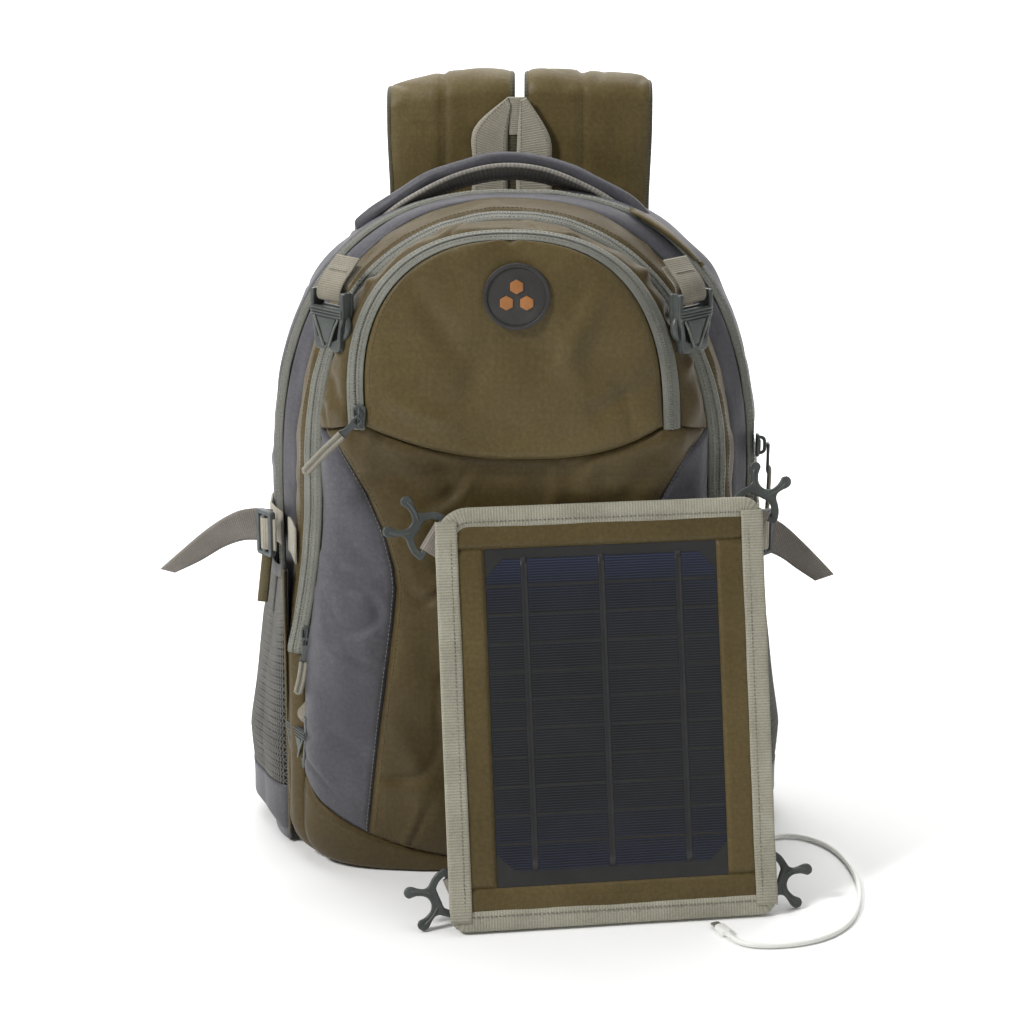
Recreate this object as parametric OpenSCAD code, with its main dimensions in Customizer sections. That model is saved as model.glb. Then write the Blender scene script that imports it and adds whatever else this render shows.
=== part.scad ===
// Zipped backpack with a detached solar charging pouch leaning on its front.
// The origin is the centre of the bag's base, +Z is up and the bag's front faces -Y.

/* [Bag] */
// Half of the width of the main compartment at its widest
bag_half_w = 167; // [160:1:172]
// Height of the top seam of the main compartment
bag_top = 458; // [450:1:462]
// Where the side edges end and the domed top begins
bag_knee = 250; // [230:1:270]
// Back face of the main compartment, behind the origin
bag_back = 92; // [90:1:94]
// Thickness of the walls of the compartments
wall = 2; // [1.5:0.1:2.5]

/* [Front] */
// Half of the width of the front compartment at its zip
front_half_w = 137; // [130:1:140]
// Half of the width of the D-shaped pocket flap
flap_half_w = 100; // [94:1:102]
// Height of the seam that the pocket flap folds down on
flap_hinge_z = 299; // [296:1:304]
// Diameter of the round badge on the pocket flap
badge_d = 44; // [36:1:46]

/* [Straps] */
// Width of a padded shoulder strap
strap_w = 84; // [78:1:84]
// Thickness of a padded shoulder strap
strap_t = 10; // [8:1:11]
// Width of the webbing
webbing_w = 25; // [22:1:26]
// Thickness of the webbing
webbing_t = 1.6; // [1.2:0.1:2]

/* [Solar pouch] */
// Width of the pouch
pouch_w = 220; // [214:1:222]
// Height of the pouch
pouch_h = 280; // [274:1:282]
// Thickness of the pouch at its bound edge
pouch_t = 7; // [6:0.5:8]
// How far the pouch leans back from upright, in degrees
pouch_lean = 16.5; // [16:0.5:17.5]
// How far the pouch is turned about the vertical, in degrees
pouch_yaw = 8; // [7:0.5:9]
// Width of the window over the solar laminate
window_w = 156; // [150:1:160]
// Height of the window over the solar laminate
window_h = 224; // [218:1:228]
// Rows of solar cell strips
cell_rows = 11; // [6:1:14]
// Diameter of the charging lead
lead_d = 3.6; // [3:0.1:3.8]

/* [Hidden] */
$fn = 32;
olive = [0.34, 0.29, 0.17];
slate = [0.44, 0.44, 0.49];
taupe = [0.62, 0.60, 0.54];
grey_plastic = [0.30, 0.32, 0.32];
dark_plastic = [0.15, 0.15, 0.15];
tape_grey = [0.52, 0.53, 0.50];
eps = 0.3;              // gap between neighbouring sewn pieces
base_t = 2;             // thickness of the base panel
strap_x_left = -47;
strap_x_right = 52;
strap_root_y = 99;      // front face of the standing part of a shoulder strap
crest_r = 20;           // outer radius of a strap's bend over its crest
crest_z = 513;
strap_end_z = 150;
buckle_half_w = 16.5;
buckle_h = 40;
buckle_t = 11;
zip_end_z = 150;        // where the long zips end, above the base
pouch_base = [-42, -189, 2.3];
// Buckle places: the middle of each webbing bar, and the buckle's turn about the vertical in degrees
buckle_bars = [[-121, -64, 404], [116, -68.5, 404], [-149, -48, 102], [149, -48, 102]];
buckle_turns = [-45, 45, -60, 60];
// Clip places on the pouch: across, up, and the direction the prongs point in, in degrees
clip_spots = [[-1, 261, 147], [217, 270, 63], [4, 26, 201], [214, 25.5, -20]];
clip_t = 3.6;           // thickness of a clip
clip_gap = 1.6;         // gap between a clip and the pouch's back
// Middle line of the haul handle, a circular arch
handle_x = -10;
handle_span = 93;
handle_rise = 42;
handle_foot_z = 433;
handle_r = (pow(handle_span, 2) + pow(handle_rise, 2)) / (2 * handle_rise);
handle_angles = [-47, 33]; // the handle's ends, from straight up, in degrees
// Route of the charging lead, from the plug in the junction box to the free plug
lead_route = [
    [123.6, -134.6, 57.8], [124, -137.2, 49], [124.7, -138.6, 39], [126.4, -137.2, 27], [129.6, -131, 16],
    [134.6, -120.6, 7], [141, -105, 2.6], [148, -87, 2.2], [157, -68, 2.2], [168, -50, 2.2],
    [180, -36, 2.2], [194, -29, 2.2], [209, -33, 2.2], [223, -48, 2.2], [232, -72, 2.2],
    [236, -104, 2.2], [233, -138, 2.2], [224, -168, 2.2], [209, -189, 2.2], [190, -201, 2.2],
    [168, -206, 2.2], [152, -204, 2.2], [144, -197, 2.4], [140, -189, 2.6]
];

function super_x(a, t, n) = a * sign(cos(t)) * pow(abs(cos(t)), 2 / n);
function super_z(b, t, n) = b * pow(abs(sin(t)), 2 / n);

// Outline of a compartment seen from the front: rounded foot, upright sides, domed top
function arch(hw, top, knee, base, r = 16, n = 2.4) = concat(
    [for (a = [180:30:270]) [-hw + r + r * cos(a), base + r + r * sin(a)]],
    [for (a = [270:30:360]) [hw - r + r * cos(a), base + r + r * sin(a)]],
    [for (t = [0:9:180]) [super_x(hw, t, n), knee + super_z(top - knee, t, n)]]
);

// Extrudes a front-view outline between two depths
module slab(y0, y1) {
    translate([0, y1, 0]) rotate([90, 0, 0]) linear_extrude(y1 - y0) children();
}

module slice(y, hw, top, knee, base, r = 16) {
    slab(y, y + 0.5) polygon(arch(hw, top, knee, base, r));
}

// A band between two arches, from its ends up over the top
module arch_band(y0, y1, hw, top, knee, t, ends_z) {
    slab(y0, y1) difference() {
        polygon(arch(hw + t, top + t, knee, 0));
        polygon(arch(hw, top, knee, -20));
        translate([-300, -50]) square([600, ends_z + 50]);
    }
}

module main_form(d) {
    foot = base_t + eps - min(d, 0);
    hull() {
        slice(bag_back - 0.5 + min(d, 0), bag_half_w - 15 + d, bag_top - 20 + d, bag_knee, foot);
        slice(60, bag_half_w + d, bag_top - 12 + d, bag_knee, foot);
        slice(12, bag_half_w + d, bag_top + d, bag_knee, foot);
        slice(-4 - min(d, 0), bag_half_w - 7 + d, bag_top - 1 + d, bag_knee, foot);
    }
}

module front_form(d) {
    foot = base_t + eps - min(d, 0);
    hull() {
        slice(-5 + min(d, 0), front_half_w + 15 + d, bag_top - 2 + d, bag_knee, foot);
        slice(-40, front_half_w + d, 452 + d, 290, foot);
        slice(-70 - d, 110 + d, 449 + d, 330, foot);
        slice(-67 - d, 120 + d, 300 + d, 240, foot);
        slice(-73 - d, 60 + d, 440 + d, 340, 240);
        slice(-90 - d, 100 + d, 140 + d, 40, foot, 10);
    }
}

// The seam that joins the front to the base, lowest in the middle
function base_seam(x) = 8 + 34 * pow(abs(x) / 125, 2.2);
// The inner edge of the side crescents, as half the width of the panel between them
function crescent_edge(z) = 80 + 40 * pow((z - 205) / 100, 2) * (z > 205 ? 0.95 : 0.18);

module front_skin() {
    difference() {
        front_form(wall);
        front_form(eps);
    }
}

module main_compartment() {
    color(slate) difference() {
        main_form(0);
        main_form(-wall);
    }
}

module back_panel() {
    color(slate) slab(bag_back + eps, bag_back + 5) polygon(arch(149, 436, bag_knee, 3));
}

module back_pads() {
    color("dimgray") {
        for (side = [-1, 1]) slab(97.3, 106) polygon(
            [for (a = [0:15:345]) [side * 62 + super_x(50, a, 4), 285 + sign(sin(a)) * super_z(95, a, 4)]]);
        slab(97.3, 108) polygon(
            [for (a = [0:15:345]) [super_x(112, a, 4), 110 + sign(sin(a)) * super_z(62, a, 4)]]);
    }
}

// Padded sleeve that stands inside the main compartment against its back
module laptop_sleeve() {
    color("gray") difference() {
        translate([-135, 60, 12]) cube([270, 28, 300]);
        translate([-130, 64, 16]) cube([260, 20, 310]);
    }
}

module back_piping() {
    color(tape_grey) slab(bag_back + eps, bag_back + 4.3) difference() {
        polygon(arch(152.3, 439.3, bag_knee, 2.3));
        polygon(arch(149.3, 436.3, bag_knee, 2.8));
        translate([-200, -1]) square([400, 22]);
    }
}

module top_band() {
    color(slate) arch_band(-3, 14, bag_half_w + eps, bag_top + eps, bag_knee, wall, zip_end_z);
}

module main_zip() {
    color(tape_grey) arch_band(14.3, 21.3, bag_half_w + eps, bag_top + eps, bag_knee, 2.4, zip_end_z);
}

module front_compartment() {
    color(olive) difference() {
        front_form(0);
        difference() {
            front_form(-wall);
            slab(-60, -56) polygon(arch(flap_half_w + 4, 452, 340, flap_hinge_z - 7, 6));
        }
        slab(-100, -58) polygon(arch(flap_half_w - 1.6, 446.4, 340, flap_hinge_z - 1.4, 6));
    }
}

module outer_zip() {
    color(tape_grey) arch_band(-46, -36, front_half_w + 3, 454.6, 290, 2, zip_end_z);
}

module lower_front_panel() {
    color(olive) intersection() {
        front_skin();
        slab(-110, -60) polygon(concat(
            [for (x = [-90:15:90]) [x, base_seam(x) + eps]],
            [for (z = [40:20:280]) [crescent_edge(z) - eps, z]],
            [[106, 290], [106, flap_hinge_z - 5], [-106, flap_hinge_z - 5], [-106, 290]],
            [for (z = [280:-20:40]) [-crescent_edge(z) + eps, z]]));
    }
}

module crescent(side) {
    color(slate) intersection() {
        front_skin();
        slab(-110, -46) polygon(concat(
            [for (z = [280:-20:40]) [side * (crescent_edge(z) + eps), z]],
            [for (x = [100:15:160]) [side * x, base_seam(x) + eps]],
            [[side * 160, 270], [side * 118, 290]]));
    }
}

module crescent_left() {
    crescent(-1);
}

module crescent_right() {
    crescent(1);
}

// Sole plate with a front lip that rises to the corners
module base_panel() {
    color(olive) {
        linear_extrude(base_t) polygon([
            [-150, 92], [-161, 60], [-161, 8], [-148, -20], [-132, -50], [-116, -80], [-100, -92],
            [100, -92], [116, -80], [132, -50], [148, -20], [161, 8], [161, 60], [150, 92]]);
        intersection() {
            front_skin();
            slab(-110, -20) polygon(concat(
                [for (x = [-160:20:160]) [x, base_seam(x) - eps]],
                [[160, base_t], [-160, base_t]]));
        }
    }
}

// Open-fronted tray of the front pocket, closed by the flap
module front_pocket() {
    color(olive) difference() {
        slab(-76, -58.3) polygon(arch(flap_half_w - 2, 446, 340, flap_hinge_z - 1, 6));
        slab(-80, -60) polygon(arch(flap_half_w - 4, 444, 340, flap_hinge_z + 1, 6));
    }
}

module pocket_zip() {
    color(tape_grey) arch_band(-80.6, -79.4, flap_half_w + 3.6, 451.6, 340, 3.6, flap_hinge_z + 4);
}

module pocket_flap() {
    color(olive) hull() {
        slice(-84, flap_half_w, 447, 340, flap_hinge_z + 1, 6);
        slice(-87, flap_half_w - 14, 436, 340, flap_hinge_z + 10, 6);
    }
}

module flap_zip_tape() {
    color(tape_grey) arch_band(-83.4, -82.2, flap_half_w + eps, 447.3, 340, 3, flap_hinge_z + 4);
}

module flap_badge() {
    color(dark_plastic) translate([1, -87.3, 409]) rotate([90, 0, 0]) {
        cylinder(d = badge_d - 4, h = 1.6, $fn = 64);
        difference() {
            cylinder(d = badge_d, h = 2.6, $fn = 64);
            translate([0, 0, -1]) cylinder(d = badge_d - 3.8, h = 5, $fn = 64);
        }
    }
}

// Zip slider: two plates on a wedge, with a bridge that carries the puller
module slider() {
    color(grey_plastic) {
        translate([-4.5, -2.4, -8]) cube([9, 2.4, 16]);
        difference() {
            translate([-1.2, -6.4, -6]) cube([2.4, 4.2, 12]);
            translate([-2, -5, -4]) cube([4, 2.4, 8]);
        }
    }
}

// Puller: a ring link and a folded webbing tab, hanging along -Z from its pin
module puller(tab) {
    color(grey_plastic) difference() {
        translate([-3.5, -1, -20]) cube([7, 2, 21.8]);
        translate([-1.8, -2, -3.4]) cube([3.6, 4, 4]);
        translate([-2.2, -2, -18.4]) cube([4.4, 4, 3]);
    }
    color(taupe) translate([-3.2, -0.8, -20 - tab]) cube([6.4, 1.6, tab - eps]);
}

module at_main_slider() {
    translate([bag_half_w + 2.8, 17.8, 280]) rotate([0, 0, 90]) children();
}

module at_outer_slider() {
    translate([-front_half_w - 7, -47, 160]) rotate([0, 7, 0]) children();
}

module at_pocket_slider() {
    translate([-flap_half_w - 2.8, -84.7, 327]) children();
}

module main_slider() {
    at_main_slider() slider();
}

module main_puller() {
    at_main_slider() translate([0, -8.8, 0]) puller(30);
}

module outer_slider() {
    at_outer_slider() slider();
}

module outer_puller() {
    at_outer_slider() translate([0, -8.8, 0]) puller(20);
}

module pocket_slider() {
    at_pocket_slider() slider();
}

module pocket_puller() {
    at_pocket_slider() translate([0, -8.8, 0]) rotate([0, 48, 0]) puller(32);
}

// Plan of a side pocket: an arc that bows out from the bag's side
function bow(rx, ry) = [for (a = [90:12:270]) [rx * cos(a), ry * sin(a)]];

module mesh_pocket(side) {
    color([0.45, 0.43, 0.40]) translate([0, 12, 0]) intersection() {
        mirror([side > 0 ? 1 : 0, 0, 0]) translate([-(bag_half_w + eps), 0, 2.5]) {
            linear_extrude(180) polygon(concat(bow(22, 50), [for (i = [15:-1:0]) bow(20.4, 48.4)[i]]));
            linear_extrude(1.6) polygon(bow(21, 49));
        }
        translate([-300, -100, 0]) cube([600, 200, 182.5]);
    }
}

module mesh_pocket_left() {
    mesh_pocket(-1);
}

module mesh_pocket_right() {
    mesh_pocket(1);
}

module pocket_elastics() {
    color("dimgray") for (side = [-1, 1]) translate([0, 12, 182.8])
        mirror([side > 0 ? 1 : 0, 0, 0]) translate([-(bag_half_w + eps), 0, 0])
            linear_extrude(12) polygon(concat(bow(22.6, 50.6), [for (i = [15:-1:0]) bow(20, 48)[i]]));
}

// Compression strap: a short run on the bag's side and a free tail that stands out and droops
module side_strip(side) {
    tail = side < 0
        ? [[-174, 235], [-196, 234], [-214, 224], [-234, 207], [-252, 191], [-241, 189], [-224, 197],
           [-206, 208], [-190, 212], [-174, 211]]
        : [[171, 229], [188, 224], [205, 209], [227, 186], [212, 183], [194, 194], [171, 204]];
    color(taupe) {
        slab(8, 8 + webbing_t) polygon(tail);
        translate([side * (bag_half_w + 4) - webbing_t / 2, -34, 210]) cube([webbing_t, 24, webbing_w]);
        translate([side * (bag_half_w + 4) - webbing_t / 2, 26, 210]) cube([webbing_t, 50, webbing_w]);
    }
}

module side_webbing() {
    for (side = [-1, 1]) side_strip(side);
}

// Ladder lock: a frame with three cross bars
module ladder_lock(w, h, t) {
    bar = 3.2;
    color(grey_plastic) difference() {
        translate([-w / 2, -t / 2, -h / 2]) cube([w, t, h]);
        for (z = [-h / 2 + bar, bar / 2]) translate([-w / 2 + bar, -t, z])
            cube([w - 2 * bar, 2 * t, h / 2 - 1.5 * bar]);
    }
}

module side_lock(side) {
    translate([side * (bag_half_w + 6), -1, 222]) rotate([0, 90, 90]) ladder_lock(32, 16, 5);
}

module side_lock_left() {
    side_lock(-1);
}

module side_lock_right() {
    side_lock(1);
}

// Two crossed legs of webbing that meet in a folded point
module hang_loop() {
    color(taupe) {
        slab(93.5, 93.5 + webbing_t) polygon([
            [-31, 440], [-5, 440], [-5, 488], [6, 508], [6, 514], [-6, 514], [-29, 493]]);
        slab(95.4, 95.4 + webbing_t) polygon([
            [1, 440], [27, 440], [25, 486], [9, 514], [-5, 514], [-4, 508], [1, 490]]);
    }
}

// Points of the haul handle's arch, offset outward from its middle line
function handle_arc(dr, from = 0, to = 1) = [for (i = [0:24])
    let (a = handle_angles[from] + i / 24 * (handle_angles[to] - handle_angles[from]))
    [handle_x + (handle_r + dr) * sin(a), handle_foot_z + handle_rise - handle_r + (handle_r + dr) * cos(a)]];

module haul_handle() {
    color(slate) slab(40, 58) polygon(concat(handle_arc(-3), handle_arc(6, 1, 0)));
}

module handle_webbing() {
    color(taupe) slab(37, 61) polygon(concat(handle_arc(-5), handle_arc(-3.3, 1, 0)));
}

// Profile of a strap in the side view, as depth and height
module strap_leg(x, y, z0, z1) {
    translate([x - strap_w / 2, y, z0]) cube([strap_w, strap_t, z1 - z0]);
}

module strap_root(x) {
    color(olive) {
        strap_leg(x, strap_root_y, 398, crest_z);
        translate([x - strap_w / 2, strap_root_y + crest_r, crest_z]) rotate([90, 0, 90])
            linear_extrude(strap_w) intersection() {
                difference() {
                    circle(r = crest_r, $fn = 48);
                    circle(r = crest_r - strap_t, $fn = 48);
                }
                translate([-crest_r, 0]) square([crest_r, crest_r]);
            }
    }
}

module strap_root_left() {
    strap_root(strap_x_left);
}

module strap_root_right() {
    strap_root(strap_x_right);
}

module shoulder_strap(x) {
    color(olive) {
        strap_leg(x, strap_root_y + 2 * crest_r - strap_t, strap_end_z, crest_z);
        translate([x - strap_w / 2, strap_root_y + crest_r, crest_z]) rotate([90, 0, 90])
            linear_extrude(strap_w) intersection() {
                difference() {
                    circle(r = crest_r, $fn = 48);
                    circle(r = crest_r - strap_t, $fn = 48);
                }
                // A wedge short of the top, which leaves room to swing back
                polygon([[0, 0], [2 * crest_r, 0], [2 * crest_r, 2 * crest_r * tan(62)]]);
            }
    }
}

module shoulder_strap_left() {
    shoulder_strap(strap_x_left);
}

module shoulder_strap_right() {
    shoulder_strap(strap_x_right);
}

module strap_lock(x) {
    translate([x, strap_root_y + 2 * crest_r - strap_t / 2, strap_end_z - 13]) ladder_lock(34, 24, 5);
}

module strap_lock_left() {
    strap_lock(strap_x_left);
}

module strap_lock_right() {
    strap_lock(strap_x_right);
}

// Lower webbing from the foot of the bag up towards the strap's lock
module lower_strip(x, side) {
    run_x = abs(x) - 134;
    run_z = strap_end_z - 32 - 36;
    run_y = strap_root_y + 2 * crest_r - strap_t / 2 - 104;
    color(taupe) translate([side * 134, 104, 36])
        rotate([-atan(run_y / run_z), 0, 0]) rotate([0, side * atan(run_x / run_z), 0])
            translate([-webbing_w / 2, 0, 0]) cube([webbing_w, webbing_t, norm([run_x, run_y, run_z]) - 6]);
}

module lower_webbing() {
    lower_strip(strap_x_left, -1);
    lower_strip(strap_x_right, 1);
}

module strap_anchors() {
    color(olive) for (side = [-1, 1]) slab(97.4, 101) polygon([
        [side * 146, 8], [side * 146, 58], [side * 118, 40], [side * 112, 22]]);
}

module at_buckle(i) {
    translate(buckle_bars[i]) rotate([0, 0, buckle_turns[i]]) children();
}

// Webbing loops that hang the four buckle sockets
module buckle_webbing() {
    color(taupe) for (i = [0:3]) at_buckle(i)
        translate([-12, -webbing_t / 2, 2.4]) cube([24, webbing_t, 14]);
}

// Socket half of a side-release buckle, hanging from its bar, with its mouth at the bottom
module buckle(i) {
    top = 4;
    half = buckle_half_w;
    color(dark_plastic) at_buckle(i) difference() {
        slab(-buckle_t / 2, buckle_t / 2) polygon([
            [-half, top], [half, top], [half, -14], [12, -buckle_h + top], [-12, -buckle_h + top], [-half, -14]]);
        // Slots above and below the webbing bar
        translate([-13, -buckle_t, 1.6]) cube([26, 2 * buckle_t, 3.6]);
        translate([-13, -buckle_t, -7]) cube([26, 2 * buckle_t, 5.2]);
        // Mouth for the prongs
        translate([-9, -3.5, -buckle_h]) cube([18, 7, 30]);
        // Windows where the prongs spring out
        for (side = [-1, 1]) translate([side * 15 - 6, -3.5, -26]) cube([12, 7, 12]);
        // Recess on each face
        for (face = [-1, 1]) translate([-6, face * (buckle_t / 2) - 0.8, -30]) cube([12, 1.6, 18]);
    }
}

module buckle_upper_left() {
    buckle(0);
}

module buckle_upper_right() {
    buckle(1);
}

module buckle_lower_left() {
    buckle(2);
}

module buckle_lower_right() {
    buckle(3);
}

// Places its children in the pouch's own frame: X across, Y into its back, Z up its face
module on_pouch() {
    translate(pouch_base) rotate([0, 0, pouch_yaw]) rotate([-pouch_lean, 0, 0]) children();
}

module pouch_plate(u0, u1, v0, v1, w0, w1) {
    translate([u0, w0, v0]) cube([u1 - u0, w1 - w0, v1 - v0]);
}

win_u = (pouch_w - window_w) / 2;
win_v = (pouch_h - window_h) / 2;

module pouch_backing() {
    color(olive) on_pouch() pouch_plate(8, pouch_w - 8, 8, pouch_h - 8, 4, 6.4);
}

module pouch_fabric() {
    color(olive) on_pouch() difference() {
        pouch_plate(8, pouch_w - 8, 8, pouch_h - 8, 0.6, 1.8);
        pouch_plate(win_u, pouch_w - win_u, win_v, pouch_h - win_v, -2, 4);
    }
}

module pouch_binding() {
    lip = 14;
    color(taupe) on_pouch() difference() {
        pouch_plate(0, pouch_w, 0, pouch_h, 0, pouch_t);
        pouch_plate(7.7, pouch_w - 7.7, 7.7, pouch_h - 7.7, 0.5, pouch_t - 0.5);
        pouch_plate(lip, pouch_w - lip, lip, pouch_h - lip, -2, pouch_t + 2);
    }
}

module solar_laminate() {
    color([0.10, 0.11, 0.13]) on_pouch()
        pouch_plate(win_u - 6, pouch_w - win_u + 6, win_v - 6, pouch_h - win_v + 6, 2, 3.8);
}

// Strips of cells, in rows, with the outer corners of the block cut off
module solar_cells() {
    cut = 12;
    row_h = (window_h - 10) / cell_rows;
    half = window_w / 2 - 3;
    color([0.08, 0.09, 0.16]) on_pouch() for (i = [0:cell_rows - 1]) {
        c0 = i == 0 ? cut : 0;
        c1 = i == cell_rows - 1 ? cut : 0;
        translate([pouch_w / 2, 1.9, win_v + 5 + i * row_h]) rotate([90, 0, 0]) linear_extrude(0.5) polygon([
            [-half + c0, 0], [half - c0, 0], [half, c0], [half, row_h - 0.8 - c1],
            [half - c1, row_h - 0.8], [-half + c1, row_h - 0.8], [-half, row_h - 0.8 - c1], [-half, c0]]);
    }
}

// Junction box on the pouch's back, with a socket that faces down
module junction_box() {
    color(dark_plastic) on_pouch() difference() {
        pouch_plate(146, 196, 84, 124, pouch_t, pouch_t + 14);
        pouch_plate(164.5, 178.5, 80, 98, pouch_t + 4, pouch_t + 9.5);
    }
}

// Plug of the lead, seated in the junction box's socket
module usb_plug() {
    color(dark_plastic) on_pouch() {
        pouch_plate(165.5, 177.5, 83.5, 96, pouch_t + 4.5, pouch_t + 9);
        pouch_plate(163.5, 179.5, 62, 83.5, pouch_t + 2.75, pouch_t + 10.75);
    }
}

// Short tapes that run from behind the pouch's corners to the clips' bars
module clip_webbing() {
    color(taupe) on_pouch() for (spot = clip_spots)
        translate([spot[0], pouch_t + 0.1, spot[1]]) rotate([0, 90 - spot[2], 0])
            translate([-11, 0, -18]) cube([22, 1.2, 15.4]);
}

// Male clip: an arched body on a webbing bar, with two prongs that end in bulbs
module clip(spot) {
    color(grey_plastic) on_pouch() translate([spot[0], pouch_t + clip_gap + clip_t, spot[1]]) rotate([90, 0, 0])
        rotate([0, 0, spot[2] - 90]) linear_extrude(clip_t) difference() {
            union() {
                difference() {
                    intersection() {
                        circle(r = 17, $fn = 48);
                        translate([-17, -2]) square([34, 18]);
                    }
                    intersection() {
                        circle(r = 12.5, $fn = 48);
                        translate([-14, 1.6]) square([28, 9]);
                    }
                }
                for (side = [-1, 1]) {
                    polygon([[side * 1, 12], [side * 9, 12], [side * 13.6, 25], [side * 8.8, 27]]);
                    translate([side * 11.6, 27]) circle(r = 3.8, $fn = 32);
                }
            }
            translate([0, 23.6]) circle(r = 6.6, $fn = 32);
        }
}

module clip_top_left() {
    clip(clip_spots[0]);
}

module clip_top_right() {
    clip(clip_spots[1]);
}

module clip_bottom_left() {
    clip(clip_spots[2]);
}

module clip_bottom_right() {
    clip(clip_spots[3]);
}

// Ring of points around one point of a route, square to its direction
function unit(v) = v / norm(v);
function heading(p, i) = unit(p[min(i + 1, len(p) - 1)] - p[max(i - 1, 0)]);
function side_of(d) = unit(cross(d, abs(d[2]) > 0.9 ? [1, 0, 0] : [0, 0, 1]));
function ring(p, i, r, sides) =
    let (d = heading(p, i), u = side_of(d), v = cross(d, u))
    [for (k = [0:sides - 1]) p[i] + r * (cos(360 * k / sides) * u + sin(360 * k / sides) * v)];
// A point on the smooth curve through four neighbouring points
function smooth(a, b, c, d, t) =
    0.5 * (2 * b + (c - a) * t + (2 * a - 5 * b + 4 * c - d) * t * t + (3 * b - a - 3 * c + d) * t * t * t);
function refine(p, n) = concat(
    [for (i = [0:len(p) - 2], k = [0:n - 1])
        smooth(p[max(i - 1, 0)], p[i], p[i + 1], p[min(i + 2, len(p) - 1)], k / n)],
    [p[len(p) - 1]]);

module tube(route, d, sides) {
    count = len(route);
    points = [for (i = [0:count - 1]) each ring(route, i, d / 2, sides)];
    walls = [for (i = [0:count - 2], k = [0:sides - 1])
        [i * sides + k, (i + 1) * sides + k, (i + 1) * sides + (k + 1) % sides, i * sides + (k + 1) % sides]];
    polyhedron(points, concat(walls, [
        [for (k = [0:sides - 1]) k],
        [for (k = [sides - 1:-1:0]) (count - 1) * sides + k]]));
}

module charging_lead() {
    color("white") tube(refine(lead_route, 3), lead_d, 8);
}

// Slim plug at the free end of the lead, lying on the floor
module lead_plug() {
    color("white") translate([139.8, -188.5, 2.6]) rotate([0, 0, 25]) {
        translate([-3.8, 0, -2.5]) cube([7.6, 11, 5]);
        translate([-3.2, 11, -0.8]) cube([6.4, 6.6, 1.6]);
    }
}

main_compartment();
back_panel();
back_pads();
laptop_sleeve();
back_piping();
top_band();
main_zip();
front_compartment();
outer_zip();
lower_front_panel();
crescent_left();
crescent_right();
base_panel();
front_pocket();
pocket_zip();
pocket_flap();
flap_zip_tape();
flap_badge();
main_slider();
main_puller();
outer_slider();
outer_puller();
pocket_slider();
pocket_puller();
mesh_pocket_left();
mesh_pocket_right();
pocket_elastics();
side_webbing();
side_lock_left();
side_lock_right();
hang_loop();
haul_handle();
handle_webbing();
strap_root_left();
strap_root_right();
shoulder_strap_left();
shoulder_strap_right();
strap_lock_left();
strap_lock_right();
lower_webbing();
strap_anchors();
buckle_webbing();
buckle_upper_left();
buckle_upper_right();
buckle_lower_left();
buckle_lower_right();
pouch_backing();
pouch_fabric();
pouch_binding();
solar_laminate();
solar_cells();
junction_box();
clip_webbing();
clip_top_left();
clip_top_right();
clip_bottom_left();
clip_bottom_right();
usb_plug();
charging_lead();
lead_plug();
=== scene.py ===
# Looks of the solar backpack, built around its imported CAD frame. Lengths in the code are millimetres.
import math

import bpy
import bmesh
import numpy as np
from mathutils import Matrix, Vector


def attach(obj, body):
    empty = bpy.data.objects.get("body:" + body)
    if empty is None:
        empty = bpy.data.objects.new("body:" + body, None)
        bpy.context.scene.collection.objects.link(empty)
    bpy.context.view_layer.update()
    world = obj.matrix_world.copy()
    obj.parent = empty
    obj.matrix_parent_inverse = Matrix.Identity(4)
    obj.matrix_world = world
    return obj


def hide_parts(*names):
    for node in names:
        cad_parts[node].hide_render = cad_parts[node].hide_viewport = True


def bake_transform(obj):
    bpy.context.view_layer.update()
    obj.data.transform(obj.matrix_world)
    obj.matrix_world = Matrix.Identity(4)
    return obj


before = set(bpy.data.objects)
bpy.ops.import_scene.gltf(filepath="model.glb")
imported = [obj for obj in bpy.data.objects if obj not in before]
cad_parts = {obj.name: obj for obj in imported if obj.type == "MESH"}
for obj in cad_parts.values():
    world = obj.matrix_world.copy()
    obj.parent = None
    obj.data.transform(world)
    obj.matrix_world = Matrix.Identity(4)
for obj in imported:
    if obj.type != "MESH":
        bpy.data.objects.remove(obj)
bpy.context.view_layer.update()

MM = 0.001
TAU = 2 * math.pi
scene = bpy.context.scene
scene.view_settings.view_transform = "Standard"


# ---------- small helpers ----------

def smooth(a, b, x):
    t = np.clip((np.asarray(x, float) - a) / (b - a), 0, 1)
    return t * t * (3 - 2 * t)


def unit(v):
    v = np.asarray(v, float)
    return v / np.maximum(np.linalg.norm(v, axis=-1, keepdims=True), 1e-9)


def powered(v, n):
    """A power that keeps the sign, as in a superellipse."""
    return np.sign(v) * np.abs(v) ** n


def run_along(points):
    """Length along a polyline at each of its points."""
    step = np.linalg.norm(np.diff(np.asarray(points, float), axis=0), axis=1)
    return np.concatenate([[0], np.cumsum(step)])


def resample(points, count):
    """count points evenly spaced along a polyline."""
    points, run = np.asarray(points, float), run_along(points)
    at = np.linspace(0, run[-1], count)
    return np.stack([np.interp(at, run, points[:, k]) for k in range(points.shape[1])], axis=1)


def curve_between(a, b, c, d, t):
    """The curve from b to c, at t from 0 to 1, that heads for a and d beyond them."""
    return 0.5 * (2 * b + (c - a) * t + (2 * a - 5 * b + 4 * c - d) * t * t + (3 * b - a - 3 * c + d)
                  * t ** 3)


def spline(points, per=8):
    """Smooth curve through the points."""
    p = np.asarray(points, float)
    out = []
    for i in range(len(p) - 1):
        knots = p[max(i - 1, 0)], p[i], p[i + 1], p[min(i + 2, len(p) - 1)]
        out += [curve_between(*knots, k / per) for k in range(per)]
    out.append(p[-1])
    return np.array(out)


def length_of(points):
    return float(np.linalg.norm(np.diff(np.asarray(points, float), axis=0), axis=1).sum())


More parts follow.
